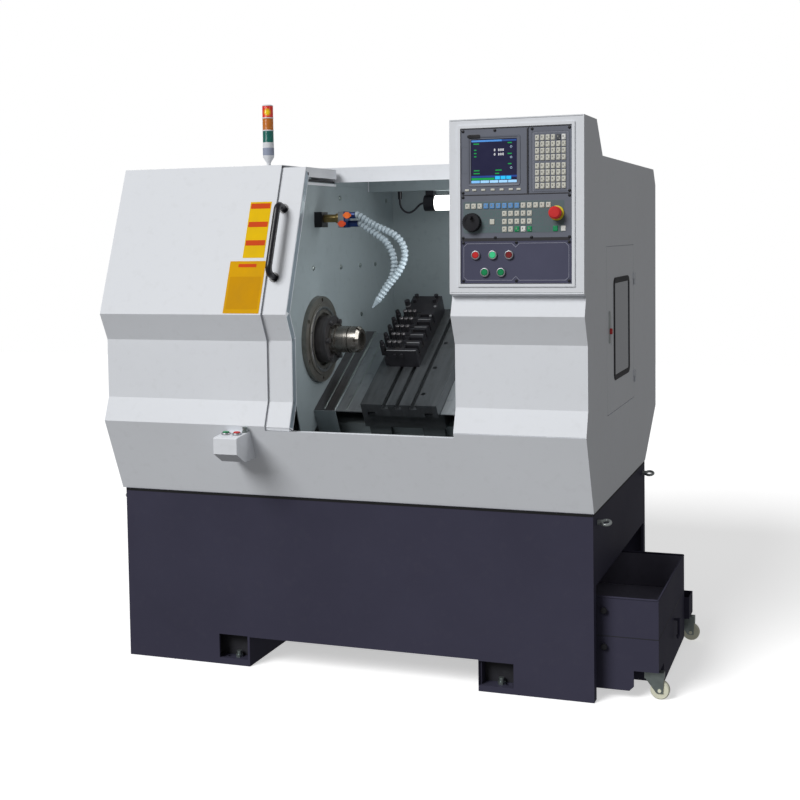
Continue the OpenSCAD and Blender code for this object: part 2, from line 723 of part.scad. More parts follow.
module button_plate() color("#464660") datum() on_panel() difference() {
    plate([sheet + panel_border + 1, panel_border], [sheet + panel_w - panel_border - 1, plate_top]);
    for (at = button_at) disc(at, -panel_recess - 1, panel_face + 1, button_r + fit);
}

module collar(at, r, bore, h) difference() {
    disc(at, panel_face, panel_face + h, r);
    disc(at, panel_face - 1, panel_face + h + 1, bore);
}

module button_collars() color("#c9c9c9") datum() on_panel() {
    for (at = button_at) collar(at, button_r + 4, button_r + fit, 7);
    collar(estop_at, estop_r + 3, 11 + fit, 5);
    collar(pulse_at, pulse_r + 1.5, 5 + run_fit, 3);
}

module push_button(i, tint) color(tint) datum() on_panel() {
    top = panel_face + 1.5 + button_travel;
    disc(button_at[i], -panel_recess + 1, top, button_r);
    translate([button_at[i][0], button_at[i][1], top]) cylinder(h = 1.5, r1 = button_r, r2 = button_r - 2);
}

module button_1() push_button(0, "#c8302c");
module button_2() push_button(1, "#18a060");
module button_3() push_button(2, "#8a2020");
module button_4() push_button(3, "#128a50");
module button_5() push_button(4, "#128a50");

module estop_button() color("#d83a34") datum() on_panel() translate([estop_at[0], estop_at[1], 0]) {
    face = panel_face;
    translate([0, 0, face - 8]) cylinder(h = 8 + 5 + estop_travel + 1, r = 11);
    translate([0, 0, face + 5 + estop_travel + fit]) cylinder(h = 6, r1 = estop_r - 4, r2 = estop_r);
    translate([0, 0, face + 11 + estop_travel + fit]) cylinder(h = 10, r = estop_r);
    translate([0, 0, face + 21 + estop_travel + fit]) cylinder(h = 4, r1 = estop_r, r2 = estop_r - 5);
}

module pulse_wheel() color("#1d1d20") datum() on_panel() translate([pulse_at[0], pulse_at[1], 0]) {
    face = panel_face;
    translate([0, 0, face - 8]) cylinder(h = 14, r = 5);
    difference() {
        translate([0, 0, face + 3 + fit]) cylinder(h = 15, r = pulse_r);
        for (a = [0 : 15 : 345]) rotate([0, 0, a]) translate([pulse_r + 1, 0, face])
            cylinder(h = 30, r = 2.2);
        translate([0, 0, face + 17]) cylinder(h = 10, r = pulse_r - 8);
    }
    translate([0, pulse_r - 11, face + 17]) cylinder(h = 15, r = 5);
}

// Switch box, tower light and lamp

module switch_box() color("#d4d6da") datum() difference() {
    along_x(switch_x[0], switch_x[1]) polygon([
        [switch_front + 52, switch_z[0]],
        [switch_front, switch_z[0] + 30],
        [switch_front, switch_z[1] - 3],
        [switch_front + 3, switch_z[1]],
        [fold[1][0] + (fold[1][1] - switch_z[1] - switch_rise) * apron_lean, switch_z[1] + switch_rise],
        [fold[1][0] + (fold[1][1] - switch_z[0]) * apron_lean, switch_z[0]],
    ]);
    for (x = switch_at) translate([switch_x[0] + x, switch_y, switch_z[1] - 14])
        cylinder(h = 30, r = switch_r + fit);
}

module switch_button(x, tint) color(tint) datum()
    translate([switch_x[0] + x, switch_y, switch_z[1] - 14 + switch_travel])
        cylinder(h = 16 + switch_rise / 2, r = switch_r);

module switch_green() switch_button(switch_at[0], "#128a50");
module switch_red() switch_button(switch_at[1], "#c8302c");

module tower_body() color("#d5d6d8") datum() translate([tower_x, tower_y, roof_z]) {
    cylinder(h = 6, r = 20);
    translate([0, 0, 5]) cylinder(h = 20, r = 6);
    translate([0, 0, 24]) cylinder(h = 14, r1 = 8, r2 = tower_r);
    translate([0, 0, 38]) cylinder(h = lens_z - 38, r = tower_r);
    for (i = [1 : 2]) translate([0, 0, lens_z + i * lens_h + (i - 1) * ring_h])
        cylinder(h = ring_h, r = tower_r + 0.6);
    translate([0, 0, lens_z + 3 * lens_h + 2 * ring_h]) cylinder(h = 4, r1 = tower_r, r2 = tower_r - 4);
}

module tower_lenses() color("#c86040") datum() translate([tower_x, tower_y, roof_z])
    for (i = [0 : 2]) translate([0, 0, lens_z + i * (lens_h + ring_h)])
        cylinder(h = lens_h, r = tower_r - 0.5);

module work_lamp() color("#2a2c30") datum() {
    block([lamp_x[0] + 6, lamp_y + 8, lamp_mid + 26], [lamp_x[0] + 34, lamp_y + 42, beam_low]);
    translate([0, lamp_y + 25, lamp_mid]) rod_x(lamp_x[0], lamp_x[0] + 36, 28);
    translate([0, lamp_y + 25, lamp_mid]) rod_x(lamp_x[0] + 35, lamp_x[1] - 20, 25);
    translate([0, lamp_y + 25, lamp_mid]) rod_x(lamp_x[1] - 21, lamp_x[1], 28);
    block([lamp_x[1] - 18, lamp_y + 8, lamp_mid + 26], [lamp_x[1] - 2, lamp_y + 42, beam_low]);
    translate([cable[0][0], lamp_y + 25, cable[0][2]]) cylinder(h = beam_low - cable[0][2], r = 7);
}

// Tube of n sides swept along a path, with a radius for each point
module sweep(path, radius, n) {
    last = len(path) - 1;
    ring = [for (i = [0 : last]) let (d = unit(path[min(i + 1, last)] - path[max(i - 1, 0)]))
        let (side = [0, 1, 0])
        let (up = cross(d, side))
        for (k = [0 : n - 1]) path[i] + radius[i] * (cos(k * 360 / n) * side + sin(k * 360 / n) * up)];
    polyhedron(points = ring, faces = concat(
        [[for (k = [0 : n - 1]) k]],
        [[for (k = [n - 1 : -1 : 0]) last * n + k]],
        [for (i = [0 : last - 1], k = [0 : n - 1])
            [i * n + k, (i + 1) * n + k, (i + 1) * n + (k + 1) % n, i * n + (k + 1) % n]]));
}

module lamp_cable() color("#26262a") datum()
    sweep([for (p = cable) [p[0], lamp_y + 25, p[2]]], [for (p = cable) cable_r], 8);

// Coolant

function span(p, i) = norm(p[i + 1] - p[i]);
function run(p, i) = i == 0 ? 0 : run(p, i - 1) + span(p, i - 1);
function at_run(p, d, i = 0) =
    i >= len(p) - 2 || d <= span(p, i) ? p[i] + (p[i + 1] - p[i]) * d / span(p, i)
        : at_run(p, d - span(p, i), i + 1);

// Segmented coolant line: beads and necks in turn, ending in a tapered nozzle
module segmented_line(points, y) {
    p = [for (q = points) [q[0], y, cool_z + q[1]]];
    total = run(p, len(p) - 1);
    count = floor((total - 30) / bead_pitch);
    steps = [for (i = [0 : count - 1], k = [0, 0.3, 0.7]) (i + k) * bead_pitch];
    radii = [for (i = [0 : count - 1], k = [0, 1, 1]) neck_r + k * (bead_r - neck_r)];
    sweep([for (d = concat(steps, [count * bead_pitch, total - 26, total])) at_run(p, d)],
        concat(radii, [neck_r, bead_r, 2.5]), 10);
}

module coolant_lines() color("#c4d0d6") datum() {
    segmented_line(line_a, cool_y - line_dy);
    segmented_line(line_b, cool_y + line_dy);
}

module coolant_manifold() color("#4b4a40") datum() translate([0, cool_y, cool_z]) {
    block([wall_x, -24, -36], [wall_x + 26, 24, 12]);
    translate([0, 0, -12]) rod_x(wall_x + 25, valve_x - 12, 9);
    block([valve_x - 13, -21, -valve_dz - 12], [valve_x + 12, 21, 12]);
    for (i = [0, 1]) translate([0, (2 * i - 1) * line_dy, -i * valve_dz]) {
        rod_x(valve_x + 11, line_a[0][0], 10);
        translate([lever_x[i], 0, 0]) rotate([90, 0, 0]) cylinder(h = stem_h + 2 * i * line_dy, r = 7);
    }
}

module valve_lever(i, tint) color(tint) datum()
    translate([lever_x[i], cool_y - line_dy - stem_h - fit, cool_z - i * valve_dz]) rotate([90, 0, 0]) {
        cylinder(h = 7, r = 10);
        block([-13, -4, 2], [13, 4, 6]);
    }

module valve_lever_1() valve_lever(0, "#eb8232");
module valve_lever_2() valve_lever(1, "#cd4b23");

// Carriage

module saddle() color("#5f666a") datum() slanted() difference() {
    union() {
        block([saddle_x - saddle_lip, saddle_s[0], saddle_low],
            [saddle_x + slide_w + saddle_lip, saddle_s[1], saddle_top]);
        for (x = [saddle_x + cross_rail_in, saddle_x + slide_w - cross_rail_in])
            block([x - cross_rail_w / 2, saddle_s[0] + 4, saddle_top - 1],
                [x + cross_rail_w / 2, saddle_s[1] - 4, cross_rail_top]);
        for (s = rail_s, x = [saddle_x, saddle_x + slide_w - 70]) difference() {
            block([x, s - rail_w / 2 - 18, bed_h + 6], [x + 70, s + rail_w / 2 + 18, saddle_low + 1]);
            block([x - 1, s - rail_w / 2 - fit, bed_h], [x + 71, s + rail_w / 2 + fit, bed_h + rail_h + fit]);
        }
        block([saddle_mid - 40, z_screw_s - 30, z_screw_h - 18],
            [saddle_mid + 40, z_screw_s + 30, saddle_low + 1]);
    }
    translate([0, z_screw_s, z_screw_h]) rod_x(saddle_mid - 41, saddle_mid + 41, z_screw_r + run_fit);
    block([saddle_mid - 25, saddle_s[0] + 10, x_screw_h - 12],
        [saddle_mid + 25, saddle_s[1] - 12, saddle_top + 1]);
    translate([saddle_mid, 0, x_screw_h]) rotate([-90, 0, 0]) translate([0, 0, saddle_s[1] - 13])
        cylinder(h = 20, r = x_screw_r + run_fit);
}

module way_covers() color("#5a6064") datum() slanted() {
    block([saddle_x - z_reach - 25, cover_s[0], saddle_top],
        [saddle_x - fit, cover_s[1], saddle_top + lip_t]);
    block([saddle_x + slide_w + fit, cover_s[0], saddle_top],
        [saddle_x + slide_w + z_reach + 20, cover_s[1], saddle_top + lip_t]);
}

module x_servo_motor() color("#2b2b2f") datum() slanted()
    translate([saddle_mid, saddle_s[1], x_screw_h]) rotate([0, 0, 90]) mirror([0, 0, 1])
        servo(110, 27, x_screw_r);

module x_ballscrew() color("silver") datum() slanted()
    translate([saddle_mid, saddle_s[0] + 12, x_screw_h]) rotate([-90, 0, 0])
        cylinder(h = saddle_s[1] - saddle_s[0] + 8, r = x_screw_r);

module t_slot(x) {
    block([x - 6, table_s[0] - 1, table_h - 8], [x + 6, table_s[1] + 1, table_h + 1]);
    block([x - 11, table_s[0] - 1, table_h - 16], [x + 11, table_s[1] + 1, table_h - 7]);
}

module cross_slide() color("#51565a") datum() slanted() difference() {
    union() {
        block([saddle_x, table_s[0], table_low], [saddle_x + slide_w, table_s[1], table_h]);
        block([saddle_mid - 18, 20, x_screw_h - 11], [saddle_mid + 18, 80, table_low + 1]);
    }
    for (x = [saddle_x + cross_rail_in, saddle_x + slide_w - cross_rail_in])
        block([x - cross_rail_w / 2 - fit, table_s[0] - 1, table_low - 1],
            [x + cross_rail_w / 2 + fit, table_s[1] + 1, cross_rail_top + fit]);
    translate([saddle_mid, 19, x_screw_h]) rotate([-90, 0, 0]) cylinder(h = 62, r = x_screw_r + run_fit);
    for (x = [77, 120, 169]) t_slot(saddle_x + x);
    for (s = [table_s[0] + 60 : 136 : table_s[1]])
        translate([saddle_x + 187, s, table_h - 9]) cylinder(h = 10, r = 7);
}

module tool_slots() for (i = [0 : bit_count - 1])
    translate([0, block_s[0] + 22 + i * tool_pitch, 0]) children();

module tool_block() color("#28282c") datum() slanted() difference() {
    union() {
        block([block_x[0], block_s[0], table_h], [block_x[1], block_s[1], block_top]);
        tool_slots() for (x = [9, 25, 42]) translate([block_x[0] + x, 0, block_top - 1])
            cylinder(h = 19, r = 6.5);
        for (x = [16, 84], s = [10, 36]) translate([block_x[0] + x, block_s[1] - s, block_top - 1])
            cylinder(h = 13, r = 7);
        translate([block_x[0] - 2, block_s[1] - 58, block_top - 34]) cylinder(h = 54, r = 9);
        block([block_x[0] - 11, block_s[0], table_h + 6], [block_x[0] + 1, block_s[0] + 34, table_h + 30]);
        for (x = [27, 49]) translate([block_x[0] + x, block_s[0] + 1, block_top - 17]) rotate([90, 0, 0])
            cylinder(h = 8, r = 6);
    }
    tool_slots() block([block_x[0] - 1, -shank / 2 - fit, slot_low],
        [block_x[1] + 1, shank / 2 + fit, slot_low + shank + fit]);
    tool_slots() block([block_x[0] + 56, -shank / 2 - fit, slot_low],
        [block_x[1] + 1, shank / 2 + fit, block_top + 1]);
    tool_slots() block([block_x[0] - 1, tool_pitch / 2 - 3, block_top - 12],
        [block_x[0] + 56, tool_pitch / 2 + 1, block_top + 1]);
}

module tool_bits() color("#9a9a98") datum() slanted() tool_slots() {
    block([block_x[0] - bit_out + 12, -shank / 2, slot_low], [block_x[1] - 2, shank / 2, slot_low + shank]);
    along_y(-shank / 2, shank / 4) polygon([
        [block_x[0] - bit_out + 13, slot_low], [block_x[0] - bit_out + 9, tip_h],
        [block_x[0] - bit_out, tip_h], [block_x[0] - bit_out + 5, slot_low],
    ]);
}

// Chip cart

module chip_bin() color("#3a3845") datum() difference() {
    block([cart_x0, cart_y0, bin_z], [cart_x1, cart_y1, bin_z + bin_h]);
    block([cart_x0 + cart_sheet, cart_y0 + cart_sheet, bin_z + cart_sheet],
        [cart_x1 - cart_sheet, cart_y1 - cart_sheet, bin_z + bin_h + 1]);
}

module tank_body(t) {
    block([cart_x0 + t, cart_y0 + t, tank_z + t], [notch_x - t, cart_y1 - t, bin_z]);
    block([notch_x - t - 1, cart_y0 + t, notch_z + t], [cart_x1 - t, cart_y1 - t, bin_z]);
    block([notch_x - t - 1, notch_y + t, tank_z + t], [cart_x1 - t, cart_y1 - t, bin_z]);
}

module coolant_tank() color("#36343f") datum() {
    difference() {
        union() {
            tank_body(0);
            block([cart_x0, cart_y1 - 1, notch_z], [cart_x1 + pump_bay_out, cart_y1 + pump_bay, bin_z - 26]);
        }
        tank_body(cart_sheet);
        block([cart_x0 + cart_sheet, cart_y0 + cart_sheet, bin_z - 1],
            [cart_x1 - cart_sheet, cart_y1 - cart_sheet, bin_z + 1]);
        block([cart_x0 + cart_sheet, cart_y1 + cart_sheet, notch_z + cart_sheet],
            [cart_x1 + pump_bay_out - cart_sheet, cart_y1 + pump_bay - cart_sheet, bin_z]);
    }
    along_y(cart_y0, cart_y0 + cart_sheet) polygon([
        [notch_x - 1, tank_z], [notch_x + 9, tank_z], [skirt_x, tank_z + skirt_x - notch_x - 9],
        [skirt_x, notch_z + 1], [notch_x - 1, notch_z + 1],
    ]);
    for (y = [cart_y0 + 20, cart_y1 - 60]) block([cart_x0 + 20, y, 0.5], [cart_x0 + 80, y + 40, tank_z + 1]);
    translate([cart_x1 - 1, (cart_y0 + cart_y1) / 2 + 40, 150]) {
        rotate([0, 90, 0]) cylinder(h = 16, r = 4);
        translate([15, 0, -40]) cylinder(h = 44, r = 4);
        translate([15, -12, -40]) rotate([90, 0, 90]) rotate_extrude(angle = -180)
            translate([12, 0]) circle(4);
    }
}

module coolant_pump() color("#4a5560") datum()
    translate([cart_x0 + 90, cart_y1 + pump_bay / 2, notch_z + cart_sheet]) {
    cylinder(h = 40, r = 30);
    translate([0, 0, 40]) cylinder(h = 12, r = 38);
    translate([0, 0, 52]) cylinder(h = 95, r = 33);
    translate([0, 0, 147]) cylinder(h = 8, r1 = 33, r2 = 26);
}

module caster_fork(i) color("#6a7472") datum() translate([caster_at[i][0], caster_at[i][1], 0]) {
    translate([0, 0, notch_z - 6]) cylinder(h = 5.7, r = 20);
    difference() {
        union() {
            block([-18, -wheel_w / 2 - 4, 60], [caster_trail + 12, wheel_w / 2 + 4, notch_z - 5]);
            for (y = [-wheel_w / 2 - 4, wheel_w / 2 + 1]) along_y(y, y + 3)
                polygon([[-18, 64], [caster_trail - 9, caster_r - 8], [caster_trail + 9, caster_r - 8],
                    [caster_trail + 12, 64]]);
        }
        translate([caster_trail, -50, caster_r + caster_lift]) rotate([-90, 0, 0])
            cylinder(h = 100, r = 5 + run_fit);
    }
}

module caster_wheel(i) color("#c3c3a5") datum()
    translate([caster_at[i][0] + caster_trail, caster_at[i][1], caster_r + caster_lift]) rotate([-90, 0, 0]) {
        rotate_extrude() polygon([
            [0, -wheel_w / 2], [caster_r - 3, -wheel_w / 2], [caster_r, -wheel_w / 2 + 4],
            [caster_r, wheel_w / 2 - 4], [caster_r - 3, wheel_w / 2], [0, wheel_w / 2],
        ]);
        translate([0, 0, -wheel_w / 2 - 7]) cylinder(h = wheel_w + 14, r = 5);
    }

module caster_fork_front() caster_fork(0);
module caster_fork_rear() caster_fork(1);
module caster_wheel_front() caster_wheel(0);
module caster_wheel_rear() caster_wheel(1);

// Side door

module side_door() color("#cfd1d5") datum() {
    difference() {
        block([guard_x1 - sheet, side_y[0], side_z[0]], [guard_x1, side_y[1], side_z[1]]);
        block([guard_x1 - sheet - 1, window_y[0], window_z[0]], [guard_x1 + 1, window_y[1], window_z[1]]);
    }
    block([guard_x1 - 1, side_y[0] + 60, side_z[0] + 206], [guard_x1 + 2.5, side_y[0] + 70, side_z[0] + 290]);
    for (z = hinge_z) {
        translate([guard_x1 + hinge_off, side_y[1] + 1, z]) cylinder(h = 20, r = hinge_r);
        translate([guard_x1 + hinge_off, side_y[1] + 1, z - 19]) cylinder(h = 20, r = 2);
        block([guard_x1 - 1, side_y[1] - 14, z], [guard_x1 + hinge_off, side_y[1] - 1, z + 20]);
    }
}

module side_window() color("#6c7178") datum()
    block([guard_x1 - sheet - 1, window_y[0] + fit, window_z[0] + fit],
        [guard_x1 - sheet - 1 + window_t, window_y[1] - fit, window_z[1] - fit]);

base_cabinet();
levelling_bolts();
lifting_eyes();
slant_bed();
headstock();
bearing_cap();
spindle_bearings();
spindle_motor();
drive_belt();
z_servo_motor();
front_cover();
right_cover();
rear_cover();
inner_walls();
panel_frame();
cnc_bezel();
lcd_screen();
keypad_keys();
button_plate();
button_collars();
switch_box();
tower_body();
tower_lenses();
coolant_manifold();
coolant_lines();
work_lamp();
lamp_cable();
door();
door_handle();
spindle();
collet_chuck();
motor_pulley();
saddle();
way_covers();
x_servo_motor();
z_ballscrew();
cross_slide();
tool_block();
tool_bits();
x_ballscrew();
chip_bin();
coolant_tank();
coolant_pump();
caster_fork_front();
caster_fork_rear();
caster_wheel_front();
caster_wheel_rear();
button_1();
button_2();
button_3();
button_4();
button_5();
estop_button();
pulse_wheel();
switch_green();
switch_red();
valve_lever_1();
valve_lever_2();
side_door();
side_window();
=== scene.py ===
"""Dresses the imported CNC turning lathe: finishes for its solids, and the fine pieces that sit on them."""

import bmesh
import bpy
import numpy as np
from bpy.props import FloatProperty, FloatVectorProperty, PointerProperty
from mathutils import Matrix


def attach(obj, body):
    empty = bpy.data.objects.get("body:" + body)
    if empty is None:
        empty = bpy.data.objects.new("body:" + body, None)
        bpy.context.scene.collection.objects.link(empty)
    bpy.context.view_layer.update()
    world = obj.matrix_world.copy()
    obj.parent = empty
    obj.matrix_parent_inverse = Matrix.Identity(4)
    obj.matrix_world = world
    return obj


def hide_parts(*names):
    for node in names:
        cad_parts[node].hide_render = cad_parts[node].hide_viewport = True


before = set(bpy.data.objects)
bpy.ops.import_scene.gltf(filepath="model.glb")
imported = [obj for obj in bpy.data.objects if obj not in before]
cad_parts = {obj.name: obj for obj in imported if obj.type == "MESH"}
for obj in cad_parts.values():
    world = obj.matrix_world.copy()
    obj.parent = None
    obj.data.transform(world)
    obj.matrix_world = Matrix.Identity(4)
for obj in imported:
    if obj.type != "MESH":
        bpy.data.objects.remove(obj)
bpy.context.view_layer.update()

bl_info = {
    "name": "CNC turning lathe",
    "version": (1, 0, 0),
    "blender": (4, 5, 0),
    "location": "View3D > Sidebar > Lathe",
    "description": "Finishes and fine pieces of a slant-bed turning lathe",
    "category": "Object",
}

# Places are in millimetres from the base's front left bottom corner, as on the drawing
ORIGIN = np.array([797.5, 457.0, 0.0])
PANEL_CORNER = np.array([1128.0, -110.0, 1169.0])
PANEL_TILT = np.radians(2)
SPINDLE = np.array([186.0, 1012.0])
BED_SLANT = np.radians(30)
FOLDS = np.array([[3, 542], [-95, 771], [-67, 843], [-66, 1024], [-106, 1106], [69, 1557]], float)
WALL_X = 600.0  # face of the headstock wall
SIDE_X = 1510.0  # outer face of the side door
LAMP_Y = 665
SWITCH_Y = -134.0
BLOCK_TOP = -61.0  # top of the tool block, off the slant through the spindle axis


def machine_place(points):
    """Drawing millimetres to the frame's metres."""
    return (np.asarray(points, float) - ORIGIN) / 1000


def panel_place(points):
    """Panel millimetres (across, up, outwards) to the frame: a plane leaning back by the panel's tilt."""
    u, v, w = np.moveaxis(np.asarray(points, float), -1, 0)
    s, c = np.sin(PANEL_TILT), np.cos(PANEL_TILT)
    return machine_place(PANEL_CORNER + np.stack([u, v * s - w * c, v * c + w * s], -1))


def slant_place(points):
    """Bed millimetres (x, up the slant, off the slant) to the frame: a turn about the spindle axis."""
    x, s, h = np.moveaxis(np.asarray(points, float), -1, 0)
    sn, cs = np.sin(BED_SLANT), np.cos(BED_SLANT)
    return machine_place(np.stack([x, SPINDLE[0] + s * cs - h * sn, SPINDLE[1] + s * sn + h * cs], -1))


def guard_place(low):
    """Place on the front guard's face above fold low: (x, up the face from that fold, off the face)."""
    rise = FOLDS[low + 1] - FOLDS[low]
    up = rise / np.linalg.norm(rise)
    off = np.array([-up[1], up[0]])

    def place(points):
        x, v, w = np.moveaxis(np.asarray(points, float), -1, 0)
        yz = FOLDS[low] + v[..., None] * up + w[..., None] * off
        return machine_place(np.concatenate([x[..., None], yz], -1))
    return place


# Shapes: each is (points, faces)

SHEET = [(0, 0), (0, 0.6), (0.2, 0.8)]
# Turns of a shape drawn along Z: the order of its axes, and their signs
AS_DRAWN = ([0, 1, 2], [1, 1, 1])
ALONG_X = ([2, 0, 1], [1, 1, 1])
TO_FRONT = ([0, 2, 1], [1, -1, 1])
TO_REAR = ([0, 2, 1], [1, 1, 1])
DOWNWARD = ([0, 1, 2], [1, 1, -1])


def grid_faces(rows, cols, around=True):
    """Quads of a rows by cols grid of points; around joins the last column to the first."""
    r = np.arange(rows - 1)[:, None]
    c = np.arange(cols if around else cols - 1)[None, :]
    n = (c + 1) % cols
    return np.stack([r * cols + c, r * cols + n, (r + 1) * cols + n, (r + 1) * cols + c], -1).reshape(-1, 4)


def revolved(profile, sides=32):
    """Surface of revolution: x = r cos a, y = r sin a, z, for each (r, z) of the profile and angle a."""
    r, z = np.asarray(profile, float).T
    a = np.linspace(0, 2 * np.pi, sides, endpoint=False)
    ring = np.stack([np.cos(a), np.sin(a)], -1)
    xy = r[:, None, None] * ring
    points = np.concatenate([xy, np.broadcast_to(z[:, None, None], xy.shape[:2] + (1,))], -1)
    return points.reshape(-1, 3), grid_faces(len(r), sides)


def corner_arcs(steps):
    """Signs of a rectangle's four corners and a unit quarter circle for each."""
    a = (np.arange(4)[:, None] * 90 + np.linspace(0, 90, steps)[None]) * np.pi / 180
    sign = np.array([[1, 1], [-1, 1], [-1, -1], [1, -1]], float)[:, None, :]
    return sign, np.stack([np.cos(a), np.sin(a)], -1)


def slab(width, height, corner, levels, steps=5):
    """Rounded rectangle carried through levels of (inset, height), closed by a last ring at its middle."""
    sign, arc = corner_arcs(steps)

    def ring(inset, z):
        r = max(corner - inset, 0.01)
        half = np.array([width / 2 - inset - r, height / 2 - inset - r])
        xy = (sign * half + arc * r).reshape(-1, 2)
        return np.column_stack([xy, np.full(len(xy), z)])
    (low, low_z), (high, high_z) = levels[0], levels[-1]
    rings = [ring(i, z) for i, z in [(low + 0.3, low_z), *levels, (high + 0.3, high_z)]]
    rings = [rings[0] * [0, 0, 1]] + rings + [rings[-1] * [0, 0, 1]]
    return np.concatenate(rings), grid_faces(len(rings), 4 * steps)


def tube(path, radius, sides=16):
    """Circle of the given radius at each path point, square to the path: p + r (cos a n + sin a b)."""
    path = np.asarray(path, float)
    radius = np.broadcast_to(np.asarray(radius, float), len(path))
    along = np.gradient(path, axis=0)
    along /= np.linalg.norm(along, axis=1)[:, None]
    lead = np.array([0.0, 1.0, 0.0]) if np.abs(along[:, 1]).max() < 0.9 else np.array([0.31, 0.12, 0.94])
    n = np.cross(along, lead)
    n /= np.linalg.norm(n, axis=1)[:, None]
    b = np.cross(n, along)
    a = np.linspace(0, 2 * np.pi, sides, endpoint=False)
    spokes = np.cos(a)[None, :, None] * n[:, None] + np.sin(a)[None, :, None] * b[:, None]
    rings = path[:, None] + radius[:, None, None] * spokes
    points = np.concatenate([path[:1].repeat(sides, 0), rings.reshape(-1, 3), path[-1:].repeat(sides, 0)])
    return points, grid_faces(len(path) + 2, sides)


def flat_tube(path, radius, sides=6):
    """Tube along a path that lies in one plane of constant third coordinate."""
    along = np.gradient(path, axis=0)
    along /= np.linalg.norm(along, axis=1)[:, None]
    up = np.array([0.0, 0.0, 1.0])
    n = np.cross(along, up)
    a = np.linspace(0, 2 * np.pi, sides, endpoint=False)
    rings = path[:, None] + radius * (np.cos(a)[None, :, None] * n[:, None] + np.sin(a)[None, :, None] * up)
    return rings.reshape(-1, 3), grid_faces(len(path), sides)


def smooth_path(points, step):
    """Catmull-Rom curve through the points, laid out again at even steps of its length."""
    p = np.asarray(points, float)
    q = np.concatenate([2 * p[:1] - p[1:2], p, 2 * p[-1:] - p[-2:-1]])
    t = np.linspace(0, 1, 24, endpoint=False)[:, None]
    parts = [0.5 * (2 * b + (c - a) * t + (2 * a - 5 * b + 4 * c - d) * t**2 + (3 * b - a - 3 * c + d) * t**3)
             for a, b, c, d in zip(q[:-3], q[1:-2], q[2:-1], q[3:])]
    fine = np.concatenate(parts + [p[-1:]])
    run = np.concatenate([[0], np.cumsum(np.linalg.norm(np.diff(fine, axis=0), axis=1))])
    at = np.linspace(0, run[-1], int(round(run[-1] / step)) + 1)
    return np.stack([np.interp(at, run, fine[:, k]) for k in range(3)], -1), at


def rounded_frame(width, height, corner, profile, steps=6):
    """Profile of (outset, height) carried round a rounded rectangle, as a closed ring."""
    sign, arc = corner_arcs(steps)
    half = np.array([width / 2 - corner, height / 2 - corner])
    profile = np.asarray(list(profile) + [profile[0]], float)
    xy = sign[None] * half + arc[None] * (corner + profile[:, 0])[:, None, None, None]
    z = np.broadcast_to(profile[:, 1][:, None, None, None], xy.shape[:-1] + (1,))
    return np.concatenate([xy, z], -1).reshape(-1, 3), grid_faces(len(profile), 4 * steps)


def end_sheet(x, near, far, low, high, thick=2.0):
    """Thin sheet that faces along x, from near to far in y and from low to high in z, its outer edge broken."""
    points, faces = slab(far - near, high - low, 1, [(0, 0), (0, thick - 0.4), (0.4, thick)])
    return moved((points, faces), [x, (near + far) / 2, (low + high) / 2], ALONG_X)


def moved(shape, at, turn=AS_DRAWN):
    """Shape with its axes put in another order and sign, then shifted."""
    points, faces = shape
    order, sign = turn
    return points[:, order] * sign + at, faces


def repeated(shape, places):
    """The same shape at each place, (x, y) or (x, y, z): points plus an offset, faces counted on."""
    points, faces = shape
    places = np.asarray(places, float)
    places = np.pad(places, ((0, 0), (0, 3 - places.shape[1])))
    spread = (points[None] + places[:, None]).reshape(-1, 3)
    return spread, (faces[None] + (np.arange(len(places)) * len(points))[:, None, None]).reshape(-1, 4)


def joined(*shapes):
    """Several shapes as one, faces counted on."""
    starts = np.cumsum([0] + [len(s[0]) for s in shapes])
    return (np.concatenate([s[0] for s in shapes]),
            np.concatenate([s[1] + k for s, k in zip(shapes, starts)]))


def coloured(parts):
    """Shapes of one colour each, or one a point, as one shape with the linear colour of every point."""
    tints = [np.broadcast_to(linear(rgb), shape[0].shape) for shape, rgb in parts]
    return joined(*[shape for shape, rgb in parts]), np.concatenate(tints)


def add_object(name, data):
    """New object of the scene."""
    obj = bpy.data.objects.new(name, data)
    bpy.context.scene.collection.objects.link(obj)
    return obj


def piece(name, shape, paint, body="machine", place=machine_place, tint=None, sharp=35):
    """Puts a shape into a mesh at its place, closes its poles, turns its faces out and lets it ride on a body."""
    points, faces = shape
    mesh = bpy.data.meshes.new(name)
    mesh.from_pydata(place(points), [], faces)
    if tint is not None:
        layer = mesh.color_attributes.new("Tint", "FLOAT_COLOR", "POINT")
        rgba = np.column_stack([np.broadcast_to(tint, (len(points), 3)), np.ones(len(points))])
        layer.data.foreach_set("color", rgba.ravel())
    bm = bmesh.new()
    bm.from_mesh(mesh)
    bmesh.ops.remove_doubles(bm, verts=bm.verts, dist=1e-6)
    bmesh.ops.recalc_face_normals(bm, faces=bm.faces)
    bm.to_mesh(mesh)
    bm.free()
    mesh.shade_smooth()
    mesh.set_sharp_from_angle(angle=np.radians(sharp))
    obj = add_object(name, mesh)
    mesh.materials.append(finish(paint))
    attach(obj, body)
    return obj


# Finishes

def linear(rgb):
    """sRGB 0 to 255 to linear light."""
    c = np.asarray(rgb, float) / 255
    return np.where(c <= 0.04045, c / 12.92, ((c + 0.055) / 1.055) ** 2.4)


